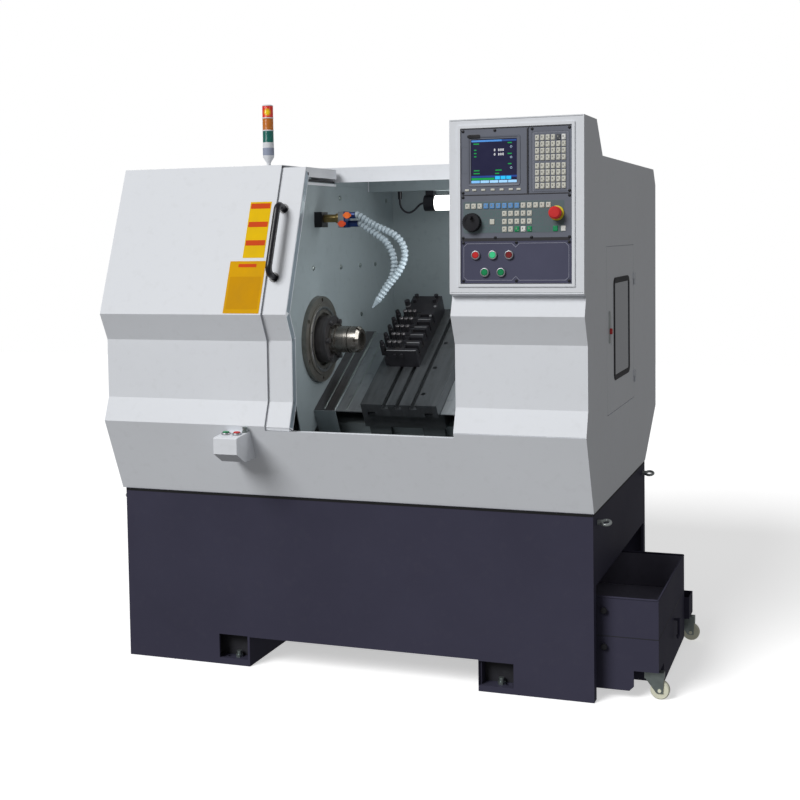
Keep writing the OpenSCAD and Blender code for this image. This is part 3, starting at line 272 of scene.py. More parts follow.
CAP = dict(rough=0.3, mottle=0.08, cloud=40, grain=1500, bump=0.04)
LEVER = dict(rough=0.35, mottle=0.08, cloud=40, bump=0.04)
FINISHES = {
    "guard_paint": dict(rgb="guard", rough=0.52, mottle=0.025, cloud=1.6, grain=520, bump=0.06, spots=0.05,
        dirt=(150, 148, 142), sheen=0.18),
    "base_paint": dict(rgb="base", rough=0.56, mottle=0.08, cloud=2.2, grain=480, bump=0.1, spots=0.05,
        dirt=(90, 88, 94), sheen=0.05),
    # painted light: a lighter copy of the base paint for the chip bin's dim inside; its spots are dirt
    "bin_lightened_paint": dict(rgb=(104, 102, 116), rough=0.6, mottle=0.14, cloud=5, grain=480, bump=0.12, spots=0.2,
        dirt=(70, 66, 64), sheen=0.05),
    "liner_paint": dict(rgb="liner", rough=0.5, mottle=0.1, cloud=1.8, grain=420, bump=0.08, spots=0.12,
        dirt=(80, 88, 88)),
    "turned_steel": dict(rgb=(128, 125, 120), rough=0.25, metal=0.86, mottle=0.1, cloud=5, grain=200, bump=0.03,
        stretch=(30, 1, 1), spots=0.12, dirt=(60, 54, 48)),
    "cap_steel": dict(rgb=(140, 138, 132), rough=0.4, metal=0.8, mottle=0.12, cloud=6, grain=240, bump=0.04,
        stretch=(20, 1, 1), spots=0.2, dirt=(62, 58, 52)),
    "eye_zinc": dict(rgb=(176, 182, 182), rough=0.34, metal=0.55, mottle=0.14, cloud=30, grain=600, bump=0.08,
        spots=0.25, dirt=(96, 92, 80)),
    "nose_steel": dict(rgb=(106, 104, 106), rough=0.34, metal=0.8, mottle=0.16, cloud=9, grain=300,
        stretch=(20, 1, 1), spots=0.2, dirt=(50, 47, 44)),
    # bluish tint is a painted reflection of the work space on the door's folded edge
    "edge_steel_reflection_tint": dict(rgb=(156, 170, 180), rough=0.3, metal=0.35, mottle=0.12, cloud=14, grain=400, bump=0.04,
        stretch=(1, 0.4, 0.2), sheen=0.5),
    "tube_brass": dict(rgb=(132, 116, 74), rough=0.34, metal=0.75, mottle=0.16, cloud=16, grain=400, bump=0.06,
        spots=0.25, dirt=(70, 60, 40)),
    "cover_steel": dict(rgb=(152, 158, 162), rough=0.4, metal=0.75, mottle=0.14, cloud=6, grain=300, bump=0.06,
        stretch=(10, 1, 1), spots=0.25, dirt=(66, 66, 64)),
    "ground_edge": dict(rgb=(112, 114, 116), rough=0.5, metal=0.5, mottle=0.1, cloud=20, grain=600, bump=0.04),
    "dark_steel": dict(rgb=(92, 96, 98), rough=0.38, metal=0.85, mottle=0.14, cloud=6, grain=300, bump=0.06,
        stretch=(1, 10, 10), spots=0.25, dirt=(48, 46, 42)),
    "slide_steel": dict(rgb=(86, 90, 93), rough=0.4, metal=0.8, mottle=0.16, cloud=7, grain=300, bump=0.06,
        stretch=(10, 1, 1), spots=0.3, dirt=(60, 60, 58)),
    "black_oxide": dict(rgb=(44, 44, 48), rough=0.42, metal=0.6, mottle=0.2, cloud=12, grain=380, bump=0.1,
        spots=0.22, dirt=(84, 78, 70)),
    "zinc_plate": dict(rgb=(150, 160, 158), rough=0.36, metal=0.9, mottle=0.14, cloud=30, grain=600, bump=0.08,
        spots=0.25, dirt=(96, 92, 80)),
    "ring_steel": dict(rgb=(168, 170, 174), rough=0.46, metal=0.75, mottle=0.06, cloud=40, bump=0.02),
    "plated": dict(rgb=(178, 178, 178), rough=0.3, metal=1, mottle=0.06, cloud=40, bump=0.02),
    "black_plastic": dict(rgb=(30, 30, 35), rough=0.32, mottle=0.15, cloud=20, grain=1400, bump=0.06),
    "bezel_plastic": dict(rgb="bezel", rough=0.5, mottle=0.06, cloud=8, grain=1800, bump=0.12),
    "plate_paint": dict(rgb="plate", rough=0.46, mottle=0.06, cloud=8, grain=1500, bump=0.08),
    "key_plastic": dict(rough=0.46, cloud=30, grain=1600, tinted=True),
    "printed_plate": dict(rough=0.6, mottle=0.07, cloud=14, bump=0.03, tinted=True, sheen=0.06),
    "screen_light": dict(rough=0.2, mottle=0.06, cloud=20, grain=1500, bump=0.01, tinted=True, glow=0.55),
    "red_cap": dict(CAP, rgb=(206, 44, 44), coat=0.3),
    "dark_red_cap": dict(CAP, rgb=(128, 34, 36), coat=0.3),
    "green_cap": dict(CAP, rgb=(10, 138, 82), coat=0.3),
    "lit_green_cap": dict(CAP, rgb=(60, 190, 130), glow=0.25),
    "outline_grey": dict(rgb=(168, 170, 184), rough=0.5, cloud=20, bump=0.02),
    "hose_plastic": dict(rgb=(148, 162, 170), rough=0.4, mottle=0.06, cloud=25, grain=1200, bump=0.04, coat=0.2),
    "lens_plastic": dict(rough=0.22, mottle=0.06, cloud=40, bump=0.02, tinted=True, coat=0.4, glow=0.12),
    "lamp_glass": dict(rgb=(255, 255, 250), rough=0.25, mottle=0.03, cloud=10, grain=600, bump=0.02, glow=3.0),
    "rubber": dict(rgb=(40, 40, 46), rough=0.6, mottle=0.12, cloud=20, grain=1500, bump=0.1),
    # painted shadow: near-black for the strip where the guard's edge throws a thin shadow line on the base
    "painted_shadow_black": dict(rgb=(9, 9, 12), rough=0.75, mottle=0.12, cloud=20, grain=1500, bump=0.1),
    "pane": dict(rgb=(132, 138, 150), rough=0.12, cloud=3, grain=200, bump=0.01, coat=0.4),
    "caster_tread": dict(rgb=(228, 228, 206), rough=0.45, mottle=0.08, cloud=40, bump=0.08, spots=0.15,
        dirt=(110, 106, 90)),
    "motor_paint": dict(rgb=(66, 72, 78), rough=0.45, mottle=0.1, cloud=9, grain=500, bump=0.1, spots=0.1),
    "valve_finish": dict(rough=0.35, metal=0.35, mottle=0.12, cloud=30, grain=500, bump=0.06,
        bands=("X", [(-0.25, (34, 34, 38)), (-0.171, (128, 108, 66)), (-0.132, (126, 132, 136)),
                     (-0.1, (26, 50, 100))])),
    "lever_paint": dict(LEVER, rgb=(226, 108, 44)),
    "lever_red": dict(LEVER, rgb=(205, 74, 34)),
    "casting_paint": dict(rgb=(120, 128, 130), rough=0.5, mottle=0.1, cloud=5, grain=240, bump=0.25, spots=0.1),
    "floor_paper": dict(rgb="floor", rough=0.9, mottle=0.005, cloud=0.8, grain=200, bump=0.01, glow=0.56),
    "tower_white": dict(rgb=(222, 224, 228), rough=0.42, mottle=0.03, cloud=12, bump=0.02, sheen=0.3),
    "tower_clear": dict(rgb=(150, 158, 178), rough=0.18, cloud=20, bump=0.02, sheen=0.6),
    "stop_yellow": dict(rgb=(226, 206, 44), rough=0.4, mottle=0.06, cloud=30, grain=1200, bump=0.04),
    # painted shade: dark strips laid in the gaps between the panel's plates
    "gap_painted_shade": dict(rgb=(46, 45, 50), rough=0.6, mottle=0.1, cloud=20, bump=0.04),
    "operator_grey": dict(rgb=(92, 106, 110), rough=0.5, cloud=10, grain=1500),
    "mark_teal": dict(rgb=(78, 122, 116), rough=0.5, mottle=0.06, cloud=20, grain=1500, bump=0.03),
}


NODE_FINISH = {
    "guard_paint": ["front_cover", "right_cover", "rear_cover", "door", "panel_frame", "switch_box", "side_door"],
    "base_paint": ["base_cabinet", "chip_bin", "coolant_tank"],
    "liner_paint": ["inner_walls"],
    "casting_paint": ["headstock", "slant_bed"],
    "turned_steel": ["collet_chuck", "spindle_bearings", "z_ballscrew", "x_ballscrew"],
    "dark_steel": ["saddle"],
    "cap_steel": ["bearing_cap"],
    "slide_steel": ["cross_slide"],
    "cover_steel": ["way_covers"],
    "nose_steel": ["spindle"],
    "black_oxide": ["tool_block", "motor_pulley"],
    "zinc_plate": ["levelling_bolts", "caster_fork_front", "caster_fork_rear"],
    "eye_zinc": ["lifting_eyes"],
    "motor_paint": ["spindle_motor", "z_servo_motor", "x_servo_motor", "coolant_pump"],
    "rubber": ["drive_belt"],
    "bezel_plastic": ["cnc_bezel"],
    "plate_paint": ["button_plate"],
    "black_plastic": ["door_handle", "pulse_wheel", "work_lamp", "lcd_screen"],
    "caster_tread": ["caster_wheel_front", "caster_wheel_rear"],
    "red_cap": ["button_1", "estop_button", "switch_red"],
    "dark_red_cap": ["button_3"],
    "lit_green_cap": ["button_2"],
    "green_cap": ["button_4", "button_5", "switch_green"],
    "lever_paint": ["valve_lever_1"],
    "lever_red": ["valve_lever_2"],
    "valve_finish": ["coolant_manifold"],
    "pane": ["side_window"],
}


def finish(name):
    """The named finish, made at its first use."""
    return bpy.data.materials.get("dressed_" + name) or shader(name, **FINISHES[name])


def shader(name, rough, rgb=None, metal=0.0, mottle=0.05, cloud=4.0, grain=900.0, bump=0.05, stretch=(1, 1, 1),
           spots=0.0, dirt=(70, 66, 60), coat=0.0, sheen=0.4, tinted=False, bands=None, glow=0.0):
    """Shader of one finish: cloudy colour, uneven gloss and a fine grain, all from noise on Object coordinates.
    rgb is sRGB or the name of one of the look's colours. tinted reads the piece's Tint layer instead, and bands,
    (axis, [(metres, sRGB)]), gives each colour from its place along the axis onwards."""
    mat = bpy.data.materials.new("dressed_" + name)
    mat.use_nodes = True
    tree = mat.node_tree
    tree.nodes.clear()
    link = tree.links.new

    def add(kind, **values):
        """New node with its inputs set by name, an underscore for a space."""
        node = tree.nodes.new("ShaderNode" + kind)
        for key, value in values.items():
            node.inputs[key.replace("_", " ")].default_value = value
        return node
    out = add("OutputMaterial")
    bsdf = add("BsdfPrincipled", Metallic=metal, Coat_Weight=coat, Specular_IOR_Level=sheen)
    link(bsdf.outputs[0], out.inputs[0])
    coords, spread = add("TexCoord"), add("Mapping", Scale=stretch)
    link(coords.outputs["Object"], spread.inputs[0])
    noise = add("TexNoise", Scale=cloud, Detail=5, Roughness=0.6)
    link(spread.outputs[0], noise.inputs["Vector"])
    level = add("MapRange", From_Min=0.3, From_Max=0.7, To_Min=1 - mottle, To_Max=1 + mottle)
    link(noise.outputs[0], level.inputs[0])
    shade = add("VectorMath")
    shade.operation = "SCALE"
    link(level.outputs[0], shade.inputs["Scale"])
    if tinted:
        layer = add("Attribute")
        layer.attribute_name = "Tint"
        link(layer.outputs["Color"], shade.inputs[0])
    elif bands:
        axis, stops = bands
        low, high = stops[0][0], stops[-1][0] + 0.1
        split, ramp = add("SeparateXYZ"), add("ValToRGB")
        place = add("MapRange", From_Min=low, From_Max=high)
        link(coords.outputs["Object"], split.inputs[0])
        link(split.outputs["XYZ".index(axis)], place.inputs[0])
        link(place.outputs[0], ramp.inputs[0])
        ramp.color_ramp.interpolation = "CONSTANT"
        for k, (at, band) in enumerate(stops):
            stop = ramp.color_ramp.elements[k] if k < 2 else ramp.color_ramp.elements.new(1)
            stop.position = (at - low) / (high - low)
            stop.color = (*linear(band), 1)
        link(ramp.outputs[0], shade.inputs[0])
    else:
        shade.inputs[0].default_value = linear(look_rgb(rgb) if isinstance(rgb, str) else rgb)
    colour = shade.outputs[0]
    if spots:
        fleck = add("TexNoise", Scale=38, Detail=6)
        link(coords.outputs["Object"], fleck.inputs["Vector"])
        keep = add("MapRange", From_Min=0.56, From_Max=0.72, To_Max=spots)
        link(fleck.outputs[0], keep.inputs[0])
        mix = add("Mix")
        mix.data_type = "RGBA"
        link(keep.outputs[0], mix.inputs[0])
        link(colour, mix.inputs[6])
        mix.inputs[7].default_value = (*linear(dirt), 1)
        colour = mix.outputs[2]
    link(colour, bsdf.inputs["Base Color"])
    gloss = add("MapRange", From_Min=0.25, From_Max=0.75, To_Min=max(rough - 0.07, 0.02), To_Max=min(rough + 0.07, 1))
    link(noise.outputs[0], gloss.inputs[0])
    link(gloss.outputs[0], bsdf.inputs["Roughness"])
    fine, relief = add("TexNoise", Scale=grain, Detail=2), add("Bump", Strength=bump, Distance=0.0005)
    link(spread.outputs[0], fine.inputs["Vector"])
    link(fine.outputs[0], relief.inputs["Height"])
    link(relief.outputs[0], bsdf.inputs["Normal"])
    if glow:
        link(colour, bsdf.inputs["Emission Color"])
        bsdf.inputs["Emission Strength"].default_value = glow
    return mat


def size_property(name, description, millimetres):
    return FloatProperty(name=name, description=description, default=millimetres / 1000, min=0, precision=4,
                         unit="LENGTH")


def rgb_property(name, description, rgb):
    return FloatVectorProperty(name=name, description=description, default=[c / 255 for c in rgb], size=3, min=0,
                               max=1, subtype="COLOR_GAMMA")


class LatheSizes(bpy.types.PropertyGroup):
    """Sizes of fine pieces that no solid fixes."""
    hose_neck: size_property("Hose neck", "Radius of a coolant line between two links", 6.5)
    hose_swell: size_property("Hose swell", "Rise of a link above the neck", 4.9)
    hose_pitch: size_property("Hose pitch", "Length of one link", 12.5)
    nozzle: size_property("Nozzle", "Length of the nozzle at the end of a coolant line", 36)
    tower_radius: size_property("Tower radius", "Radius of the tower light", 18)
    lens_height: size_property("Lens height", "Height of one lens of the tower light", 37)
    gasket_half: size_property("Window gasket", "Half the width of the side window's gasket", 9)
    rim_radius: size_property("Bin rim", "Radius of the bin's rolled rim", 3.2)


class LatheLook(bpy.types.PropertyGroup):
    """Colours of the main finishes."""
    guard: rgb_property("Guards", "Paint of the folded guards", (226, 229, 234))
    base: rgb_property("Base", "Paint of the base and the cart", (62, 61, 77))
    liner: rgb_property("Liner", "Paint of the inner walls", (150, 162, 166))
    bezel: rgb_property("Bezel", "Plastic of the control's bezel", (104, 108, 120))
    plate: rgb_property("Button plate", "Paint of the button plate", (70, 71, 94))
    floor: rgb_property("Floor", "The pale studio floor", (246, 246, 246))


class LatheStage(bpy.types.PropertyGroup):
    """Camera and light."""
    lens: FloatProperty(name="Lens", description="Focal length on a 36 mm sensor", default=58.73, unit="CAMERA")
    key: FloatProperty(name="Key light", description="Strength of the soft sun", default=2.4)
    fill: FloatProperty(name="Fill light", description="Strength of the light all round", default=0.215)
    chamber: FloatProperty(name="Chamber light", description="Light inside the work space", default=1.2, unit="POWER")
    doorway: FloatProperty(name="Doorway light", description="Light through the doorway", default=1.0, unit="POWER")


def size(name):
    """One of the changeable sizes, in millimetres."""
    return round(getattr(bpy.context.scene.lathe_sizes, name) * 1000, 4)


def look_rgb(name):
    """One of the look's colours, as sRGB 0 to 255."""
    return np.round(np.array(getattr(bpy.context.scene.lathe_look, name)) * 255, 3)


def stage():
    return bpy.context.scene.lathe_stage


# Camera, floor and light

CAMERA_AT = [2226, -3607, 1337.5]
CAMERA_YAW, CAMERA_PITCH, CAMERA_ROLL = np.radians([19.62, 3.13, -0.874])
CAMERA_SHIFT = -0.1175
SUN_FROM = np.array([-0.35, -0.72, 0.6])
SUN_SPREAD = np.radians(28)
FLOOR_HALF, FLOOR_DROP = 9.0, 0.0005


def frame_matrix(x, y, z, at):
    """Matrix with the given axes and place."""
    turn = np.eye(4)
    turn[:3, 0], turn[:3, 1], turn[:3, 2], turn[:3, 3] = x, y, z, at
    return Matrix(turn.tolist())


def aimed(at, back):
    """Matrix at a point whose -Z looks away from back."""
    z = back / np.linalg.norm(back)
    x = np.cross([0, 0, 1.0], z)
    x /= np.linalg.norm(x)
    return frame_matrix(x, np.cross(z, x), z, at)


def set_camera(scene):
    """Camera at the photograph's place: yaw about Z, then pitch down, then roll."""
    ahead = np.array([-np.sin(CAMERA_YAW), np.cos(CAMERA_YAW), 0])
    right = np.array([np.cos(CAMERA_YAW), np.sin(CAMERA_YAW), 0])
    up = np.array([0, 0, 1.0])
    look_at = ahead * np.cos(CAMERA_PITCH) - up * np.sin(CAMERA_PITCH)
    top = up * np.cos(CAMERA_PITCH) + ahead * np.sin(CAMERA_PITCH)
    across = right * np.cos(CAMERA_ROLL) + top * np.sin(CAMERA_ROLL)
    top = top * np.cos(CAMERA_ROLL) - right * np.sin(CAMERA_ROLL)
    data = bpy.data.cameras.new("photo_camera")
    data.lens, data.sensor_width, data.shift_y, data.clip_end = stage().lens, 36, CAMERA_SHIFT, 100
    scene.camera = add_object("photo_camera", data)
    scene.camera.matrix_world = frame_matrix(across, top, -look_at, machine_place(CAMERA_AT))
    scene.view_settings.view_transform = "Standard"


def lay_floor():
    """One pale sheet just under the feet."""
    mesh = bpy.data.meshes.new("floor")
    half = FLOOR_HALF
    corners = [(-half, -half, 0), (half, -half, 0), (half, half, 0), (-half, half, 0)]
    mesh.from_pydata(corners, [], [(0, 1, 2, 3)])
    mesh.materials.append(finish("floor_paper"))
    ground = add_object("floor", mesh)
    ground.location.z = -FLOOR_DROP
    ground.visible_diffuse = ground.visible_glossy = False


def set_light(scene):
    """White all round, one soft sun, and two small glows in the work space."""
    world = scene.world = bpy.data.worlds.new("studio")
    world.use_nodes = True
    tree = world.node_tree
    sky = tree.nodes["Background"]
    ray, pick = tree.nodes.new("ShaderNodeLightPath"), tree.nodes.new("ShaderNodeMapRange")
    tree.links.new(ray.outputs["Is Camera Ray"], pick.inputs[0])
    pick.inputs["To Min"].default_value, pick.inputs["To Max"].default_value = stage().fill, 1.0
    tree.links.new(pick.outputs[0], sky.inputs["Strength"])
    sky.inputs["Color"].default_value = (1, 1, 1, 1)
    sun = bpy.data.lights.new("soft_sun", "SUN")
    sun.energy, sun.angle = stage().key, SUN_SPREAD
    add_object("soft_sun", sun).matrix_world = aimed(SUN_FROM * 6, SUN_FROM)
    for name, watts, wide, tall, at, back in (
            ("chamber_glow", stage().chamber, 0.4, 0.12, [1240, 330, 1470], [0.62, -0.1, 0.78]),
            ("doorway_glow", stage().doorway, 0.2, 0.3, [1060, 60, 1150], [0.85, -0.5, 0.25])):
        glow = bpy.data.lights.new(name, "AREA")
        glow.shape, glow.size, glow.size_y, glow.energy = "RECTANGLE", wide, tall, watts
        inside = add_object(name, glow)
        inside.visible_camera = False
        inside.matrix_world = aimed(machine_place(at), np.array(back))


class LATHE_OT_stage(bpy.types.Operator):
    """Camera at the photograph's place, a pale floor, one soft sun and light all round"""
    bl_idname = "lathe.stage"
    bl_label = "Stage"

    def execute(self, context):
        set_camera(context.scene)
        lay_floor()
        set_light(context.scene)
        return {"FINISHED"}


class LATHE_OT_finishes(bpy.types.Operator):
    """Finishes of the solids"""
    bl_idname = "lathe.finishes"
    bl_label = "Finishes"

    def execute(self, context):
        for paint, nodes in NODE_FINISH.items():
            for name in nodes:
                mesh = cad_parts[name].data
                mesh.materials.clear()
                mesh.materials.append(finish(paint))
        return {"FINISHED"}


# Pieces on the machine

class LATHE_OT_cable(bpy.types.Operator):
    """Cable from the gland in the lamp beam to the lamp: a circle carried along a smooth curve"""
    bl_idname = "lathe.cable"
    bl_label = "Lamp cable"

    def execute(self, context):
        route = [(709, 1459), (709, 1450), (710, 1441), (713, 1432), (718, 1424), (725, 1418), (733, 1414),
                 (742, 1413), (751, 1415), (760, 1420), (768, 1427), (776, 1435), (784, 1441), (793, 1444),
                 (802, 1444)]
        path, run = smooth_path([(x, LAMP_Y, z) for x, z in route], 2.0)
        cable = piece("lamp_lead", tube(path, 3.5, 12), "rubber")
        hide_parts("lamp_cable")
        return {"FINISHED"}


class LATHE_OT_hoses(bpy.types.Operator):
    """Segmented coolant lines, r(d) = neck + swell |sin(pi d / pitch)|^0.7 along a curve, and the valve's tube"""
    bl_idname = "lathe.hoses"
    bl_label = "Coolant lines"

    def execute(self, context):
        lines = {
            "coolant_line_upper": (179, [(734, 1400), (743, 1400), (760, 1391), (783, 1376), (810, 1362),
                                         (838, 1350), (866, 1334), (888, 1308), (895, 1276), (886, 1244),
                                         (866, 1212), (842, 1184), (817, 1151), (786, 1112)]),
            "coolant_line_lower": (201, [(734, 1374), (743, 1374), (756, 1365), (776, 1352), (800, 1336),
                                         (822, 1320), (838, 1298), (848, 1274), (852, 1250), (850, 1227),
                                         (841, 1200), (818, 1167), (793, 1124)]),
        }
        neck, swell, pitch = size("hose_neck"), size("hose_swell"), size("hose_pitch")
        nozzle_len = size("nozzle")
        for name, (y, points) in lines.items():
            path, run = smooth_path([(x, y, z) for x, z in points], 1.25)
            radius = neck + swell * np.abs(np.sin(np.pi * run / pitch)) ** 0.7
            left = run[-1] - run
            nozzle = np.interp(left, [0, 24, 30, nozzle_len], [2.6, 8.0, 10.4, 10.4])
            radius = np.where(left < nozzle_len, nozzle, radius)
            piece(name, tube(path, radius, 20), "hose_plastic", sharp=60)
        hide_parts("coolant_lines")
        sleeve = revolved([(0, 0), (12.6, 0), (12.6, 40), (15.6, 40.5), (16, 42), (16, 52), (15.2, 53), (0, 53)])
        piece("valve_tube", moved(sleeve, [626, 190, 1391.5], ALONG_X), "tube_brass")
        return {"FINISHED"}


class LATHE_OT_tower(bpy.types.Operator):
    """Tower light: a revolved body and ribbed lenses, r = R + ripple cos(n z), the red one lit from inside"""
    bl_idname = "lathe.tower"
    bl_label = "Tower light"

    def execute(self, context):
        foot, at, gap, sides = 1557, [384, 300, 0], 3.6, 48
        wide, tall = size("tower_radius"), size("lens_height")
        first = foot + 88
        shapes, tints = [], []
        for k, rgb in enumerate([(0, 96, 86), (190, 108, 26), (224, 46, 34)]):
            z = np.linspace(0, tall, 61)
            r = wide - 0.4 + 0.35 * np.cos(2 * np.pi * z / tall * 10)
            low = first + (tall + gap) * k
            shape = revolved(np.column_stack([np.r_[0, r, 0], np.r_[low, z + low, low + tall]]), sides)
            shapes.append(shape)
            tint = np.broadcast_to(linear(rgb), shape[0].shape)
            if k == 2:
                lit = np.array([6, -17, low + tall * 0.45])
                near = np.clip(1.6 - np.linalg.norm(shape[0] - lit, axis=1) / 9, 0, 1)[:, None]
                tint = tint * (1 - near) + linear((246, 214, 20)) * near
            tints.append(tint)
        lenses = piece("tower_layers", moved(joined(*shapes), at), "lens_plastic",
                       tint=np.concatenate(tints), sharp=60)
        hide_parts("tower_lenses")
        top = first + 3 * tall + 2 * gap
        lip = wide + 0.5
        parts = [revolved([(0, foot), (20, foot), (20, foot + 3), (18.6, foot + 5), (7, foot + 6), (6.4, foot + 20),
                           (8, foot + 24), (wide, foot + 40), (wide, first), (0, first)], sides)]
        parts += [revolved([(0, low), (wide, low), (lip, low + 0.6), (lip, low + gap - 0.6), (wide, low + gap),
                            (0, low + gap)], sides) for low in (first + tall, first + 2 * tall + gap)]
        parts.append(revolved([(0, top), (wide, top), (wide, top + 1.6), (wide - 4, top + 4), (0, top + 4.4)], sides))
        body = piece("tower_shell", moved(joined(*parts), at), "tower_white")
        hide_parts("tower_body")
        ring = revolved([(wide, foot + 46), (lip, foot + 46.4), (lip, foot + 70), (wide, foot + 70.4),
                         (wide, foot + 46)], sides)
        piece("tower_sleeve", moved(ring, at), "tower_clear")
        return {"FINISHED"}


class LATHE_OT_keys(bpy.types.Operator):
    """Keycaps: rounded slabs with a raised, slightly smaller top, coloured key by key"""
    bl_idname = "lathe.keys"
    bl_label = "Keypad"

    def execute(self, context):
        cream, blue, leaf, white, dark = (206, 205, 194), (96, 150, 205), (0, 140, 84), (226, 226, 222), (70, 72, 78)
        cap_levels = [(0, 0), (0, 1.4), (0.8, 2.3), (1.6, 2.5)]
        wide = slab(13.4, 15.0, 1.6, cap_levels)
        tall = slab(11.6, 15.5, 1.6, cap_levels)
        soft = slab(12.0, 6.0, 1.4, [(0, 0), (0, 1.2), (0.7, 2.1), (1.2, 2.3)])
        across = [53.5 + i * 17.7 for i in range(14)]
        parts = []

        def row(shape, places, colours):
            parts.append((repeated(shape, places), np.repeat(colours, len(shape[0]), 0)))

        letters = [(252.3 + i * 14.8, 296 + j * 18.2 + (4.6 if j > 3 else 0)) for j in range(8) for i in range(6)]
        row(tall, letters, [cream] * 46 + [dark, white])
        row(soft, [(u, 289) for u in (52, 73, 99, 126, 152, 178, 200)], [cream] * 7)
        row(wide, [(u, 244) for u in across], [cream] * 3 + [blue] * 6 + [cream] * 5)
        for v, colours in ((222, [cream] * 5), (200, [cream] * 5), (179, [cream, cream, leaf, white, leaf])):
            row(wide, [(u, v) for u in across[6:11]], colours)
        row(wide, [(across[4], 200), (303, 179), (325, 179)], [cream, leaf, white])
        caps = letters + [(u, v) for v in (222, 200, 179) for u in across[6:11]] + [(u, 244) for u in across]
        for size, du, dv in (((3.4, 5.0), -1.6, 1.6), ((3.0, 2.2), 3.2, -4.2)):
            mark = slab(*size, 0.5, [(0, 0), (0, 0.12)], steps=2)
            marks = repeated(mark, [(u + du, v + dv, 2.5) for u, v in caps])
            parts.append((marks, (140, 140, 134)))
        shape, tint = coloured(parts)
        keys = piece("keycaps", shape, "key_plastic", place=panel_place, tint=tint, sharp=50)
        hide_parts("keypad_keys")
        return {"FINISHED"}


class LATHE_OT_panel(bpy.types.Operator):
    """Collars, dial and screws of the control panel, all revolved profiles"""
    bl_idname = "lathe.panel"
    bl_label = "Control panel"

    def execute(self, context):
        bright = revolved([(9.4, 0), (12.8, 0), (13, 1), (12.8, 4.8), (11.9, 6.6), (10.4, 7), (9.4, 6.2), (9.4, 0)],
                          40)
        buttons = [(77, 108), (126, 108), (173, 108), (103, 60), (150, 60)]
        collars = piece("button_rings", repeated(bright, buttons), "ring_steel", place=panel_place)
        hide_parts("button_collars")
        yellow = revolved([(11.5, 0), (20.2, 0), (20.5, 0.6), (20.1, 4.2), (18.5, 5), (11.5, 5), (11.5, 0)], 48)
        piece("stop_collar", moved(yellow, [307, 221, 0]), "stop_yellow", place=panel_place)
        dial = revolved([(5.2, 0), (26.6, 0), (26.6, 2), (26, 2.8), (5.2, 2.8), (5.2, 0)], 60)
        piece("pulse_dial", moved(dial, [67, 199, 0]), "black_plastic", place=panel_place)
        head = revolved([(0, 0), (4.2, 0), (4.2, 1.2), (3.4, 2.2), (1.7, 2.5), (1.6, 1.4), (0, 1.3)], 20)
        screws = [(40, 453), (132, 453), (238, 453), (342, 453), (40, 282), (342, 282), (40, 269), (342, 269)]
        screws += [(u, 156) for u in (40, 133, 236, 342)] + [(u, v) for v in (142, 36) for u in (41, 193, 341)]
        piece("panel_screws", repeated(head, screws), "black_plastic", place=panel_place)
        return {"FINISHED"}


class LATHE_OT_fields(bpy.types.Operator):
    """Raised rims and inset fields: profiles carried round rounded rectangles, thin slabs and a fine line"""
    bl_idname = "lathe.fields"
    bl_label = "Panel fields"

    def execute(self, context):
        rims = [((129, 369), rounded_frame(140, 130, 3, [(0, 0), (0, 1.2), (2, 2), (5, 2), (6, 0)])),
                ((288.8, 363), rounded_frame(104, 162, 3, [(0, 0), (0, 0.8), (1.4, 0.8), (1.4, 0)])),
                ((46, 373), rounded_frame(19, 72, 2, [(0, 0), (0, 0.7), (0.9, 0.7), (0.9, 0)]))]
        piece("bezel_rims", joined(*[moved(rim, [u, v, 0]) for (u, v), rim in rims]),
              "bezel_plastic", place=panel_place)
        # dark strips in the gaps between the plates: painted shade where the gaps fall dark
        gaps = [(224.5, 366, 3.4, 178), (190, 275, 304, 3.2), (190, 151, 304, 9)]
        strips = [moved(slab(w, h, 0.8, [(0, 0), (0, 0.3), (0.2, 0.4)], steps=3), [u, v, 0])
                  for u, v, w, h in gaps]
        piece("panel_gap_shade", joined(*strips), "gap_painted_shade", place=panel_place)
        sheet = slab(286, 88, 5, [(0, 0), (0, 0.25), (0.2, 0.35)], steps=6)
        piece("operator_field", moved(sheet, [184, 213, 0]), "operator_grey", place=panel_place)
        box = rounded_frame(12, 13, 1.5, [(-0.35, 0), (-0.35, 0.3), (0.35, 0.3), (0.35, 0)], 3)
        marks = [(u, v) for v in (222, 179) for u in (104, 122, 140, 243, 262, 280)]
        marks += [(u, 200) for u in (104, 140, 243, 262)]
        piece("field_marks", repeated(box, [(u, v, 0.3) for u, v in marks]), "mark_teal",
              place=panel_place)
        pill = slab(38, 10, 4.8, [(0, 0), (0, 2.4), (0.6, 2.8)], steps=8)
        piece("bezel_pill", moved(pill, [72, 438, 0]), "black_plastic", place=panel_place)
        border = rounded_frame(96, 160, 3, [(0, 0), (0.8, 0), (0.8, 0.4), (0, 0.4)], 4)
        piece("keypad_outline", moved(border, [289.3, 362, 0]), "outline_grey", place=panel_place)
        self.plate_outline()
        return {"FINISHED"}

    def plate_outline(self):
        """Fine line round the button plate, with cut corners and a notch in the middle of each long side."""
        corner, half, tall, notch = 9, 149, 51, 11
        line = np.array([(-half, corner - tall), (corner - half, -tall), (-notch, -tall), (0, notch - tall),
                         (notch, -tall), (half - corner, -tall), (half, corner - tall), (half, tall - corner),
                         (half - corner, tall), (notch, tall), (0, tall - notch), (-notch, tall),
                         (corner - half, tall), (-half, tall - corner), (-half, corner - tall)], float)
        path = np.column_stack([line + [191, 89], np.full(len(line), 0.1)])
        even = np.concatenate([p + (q - p) * np.linspace(0, 1, 12, endpoint=False)[:, None]
                               for p, q in zip(path[:-1], path[1:])] + [path[-1:]])
        piece("plate_outline", flat_tube(even, 0.55), "outline_grey", place=panel_place)


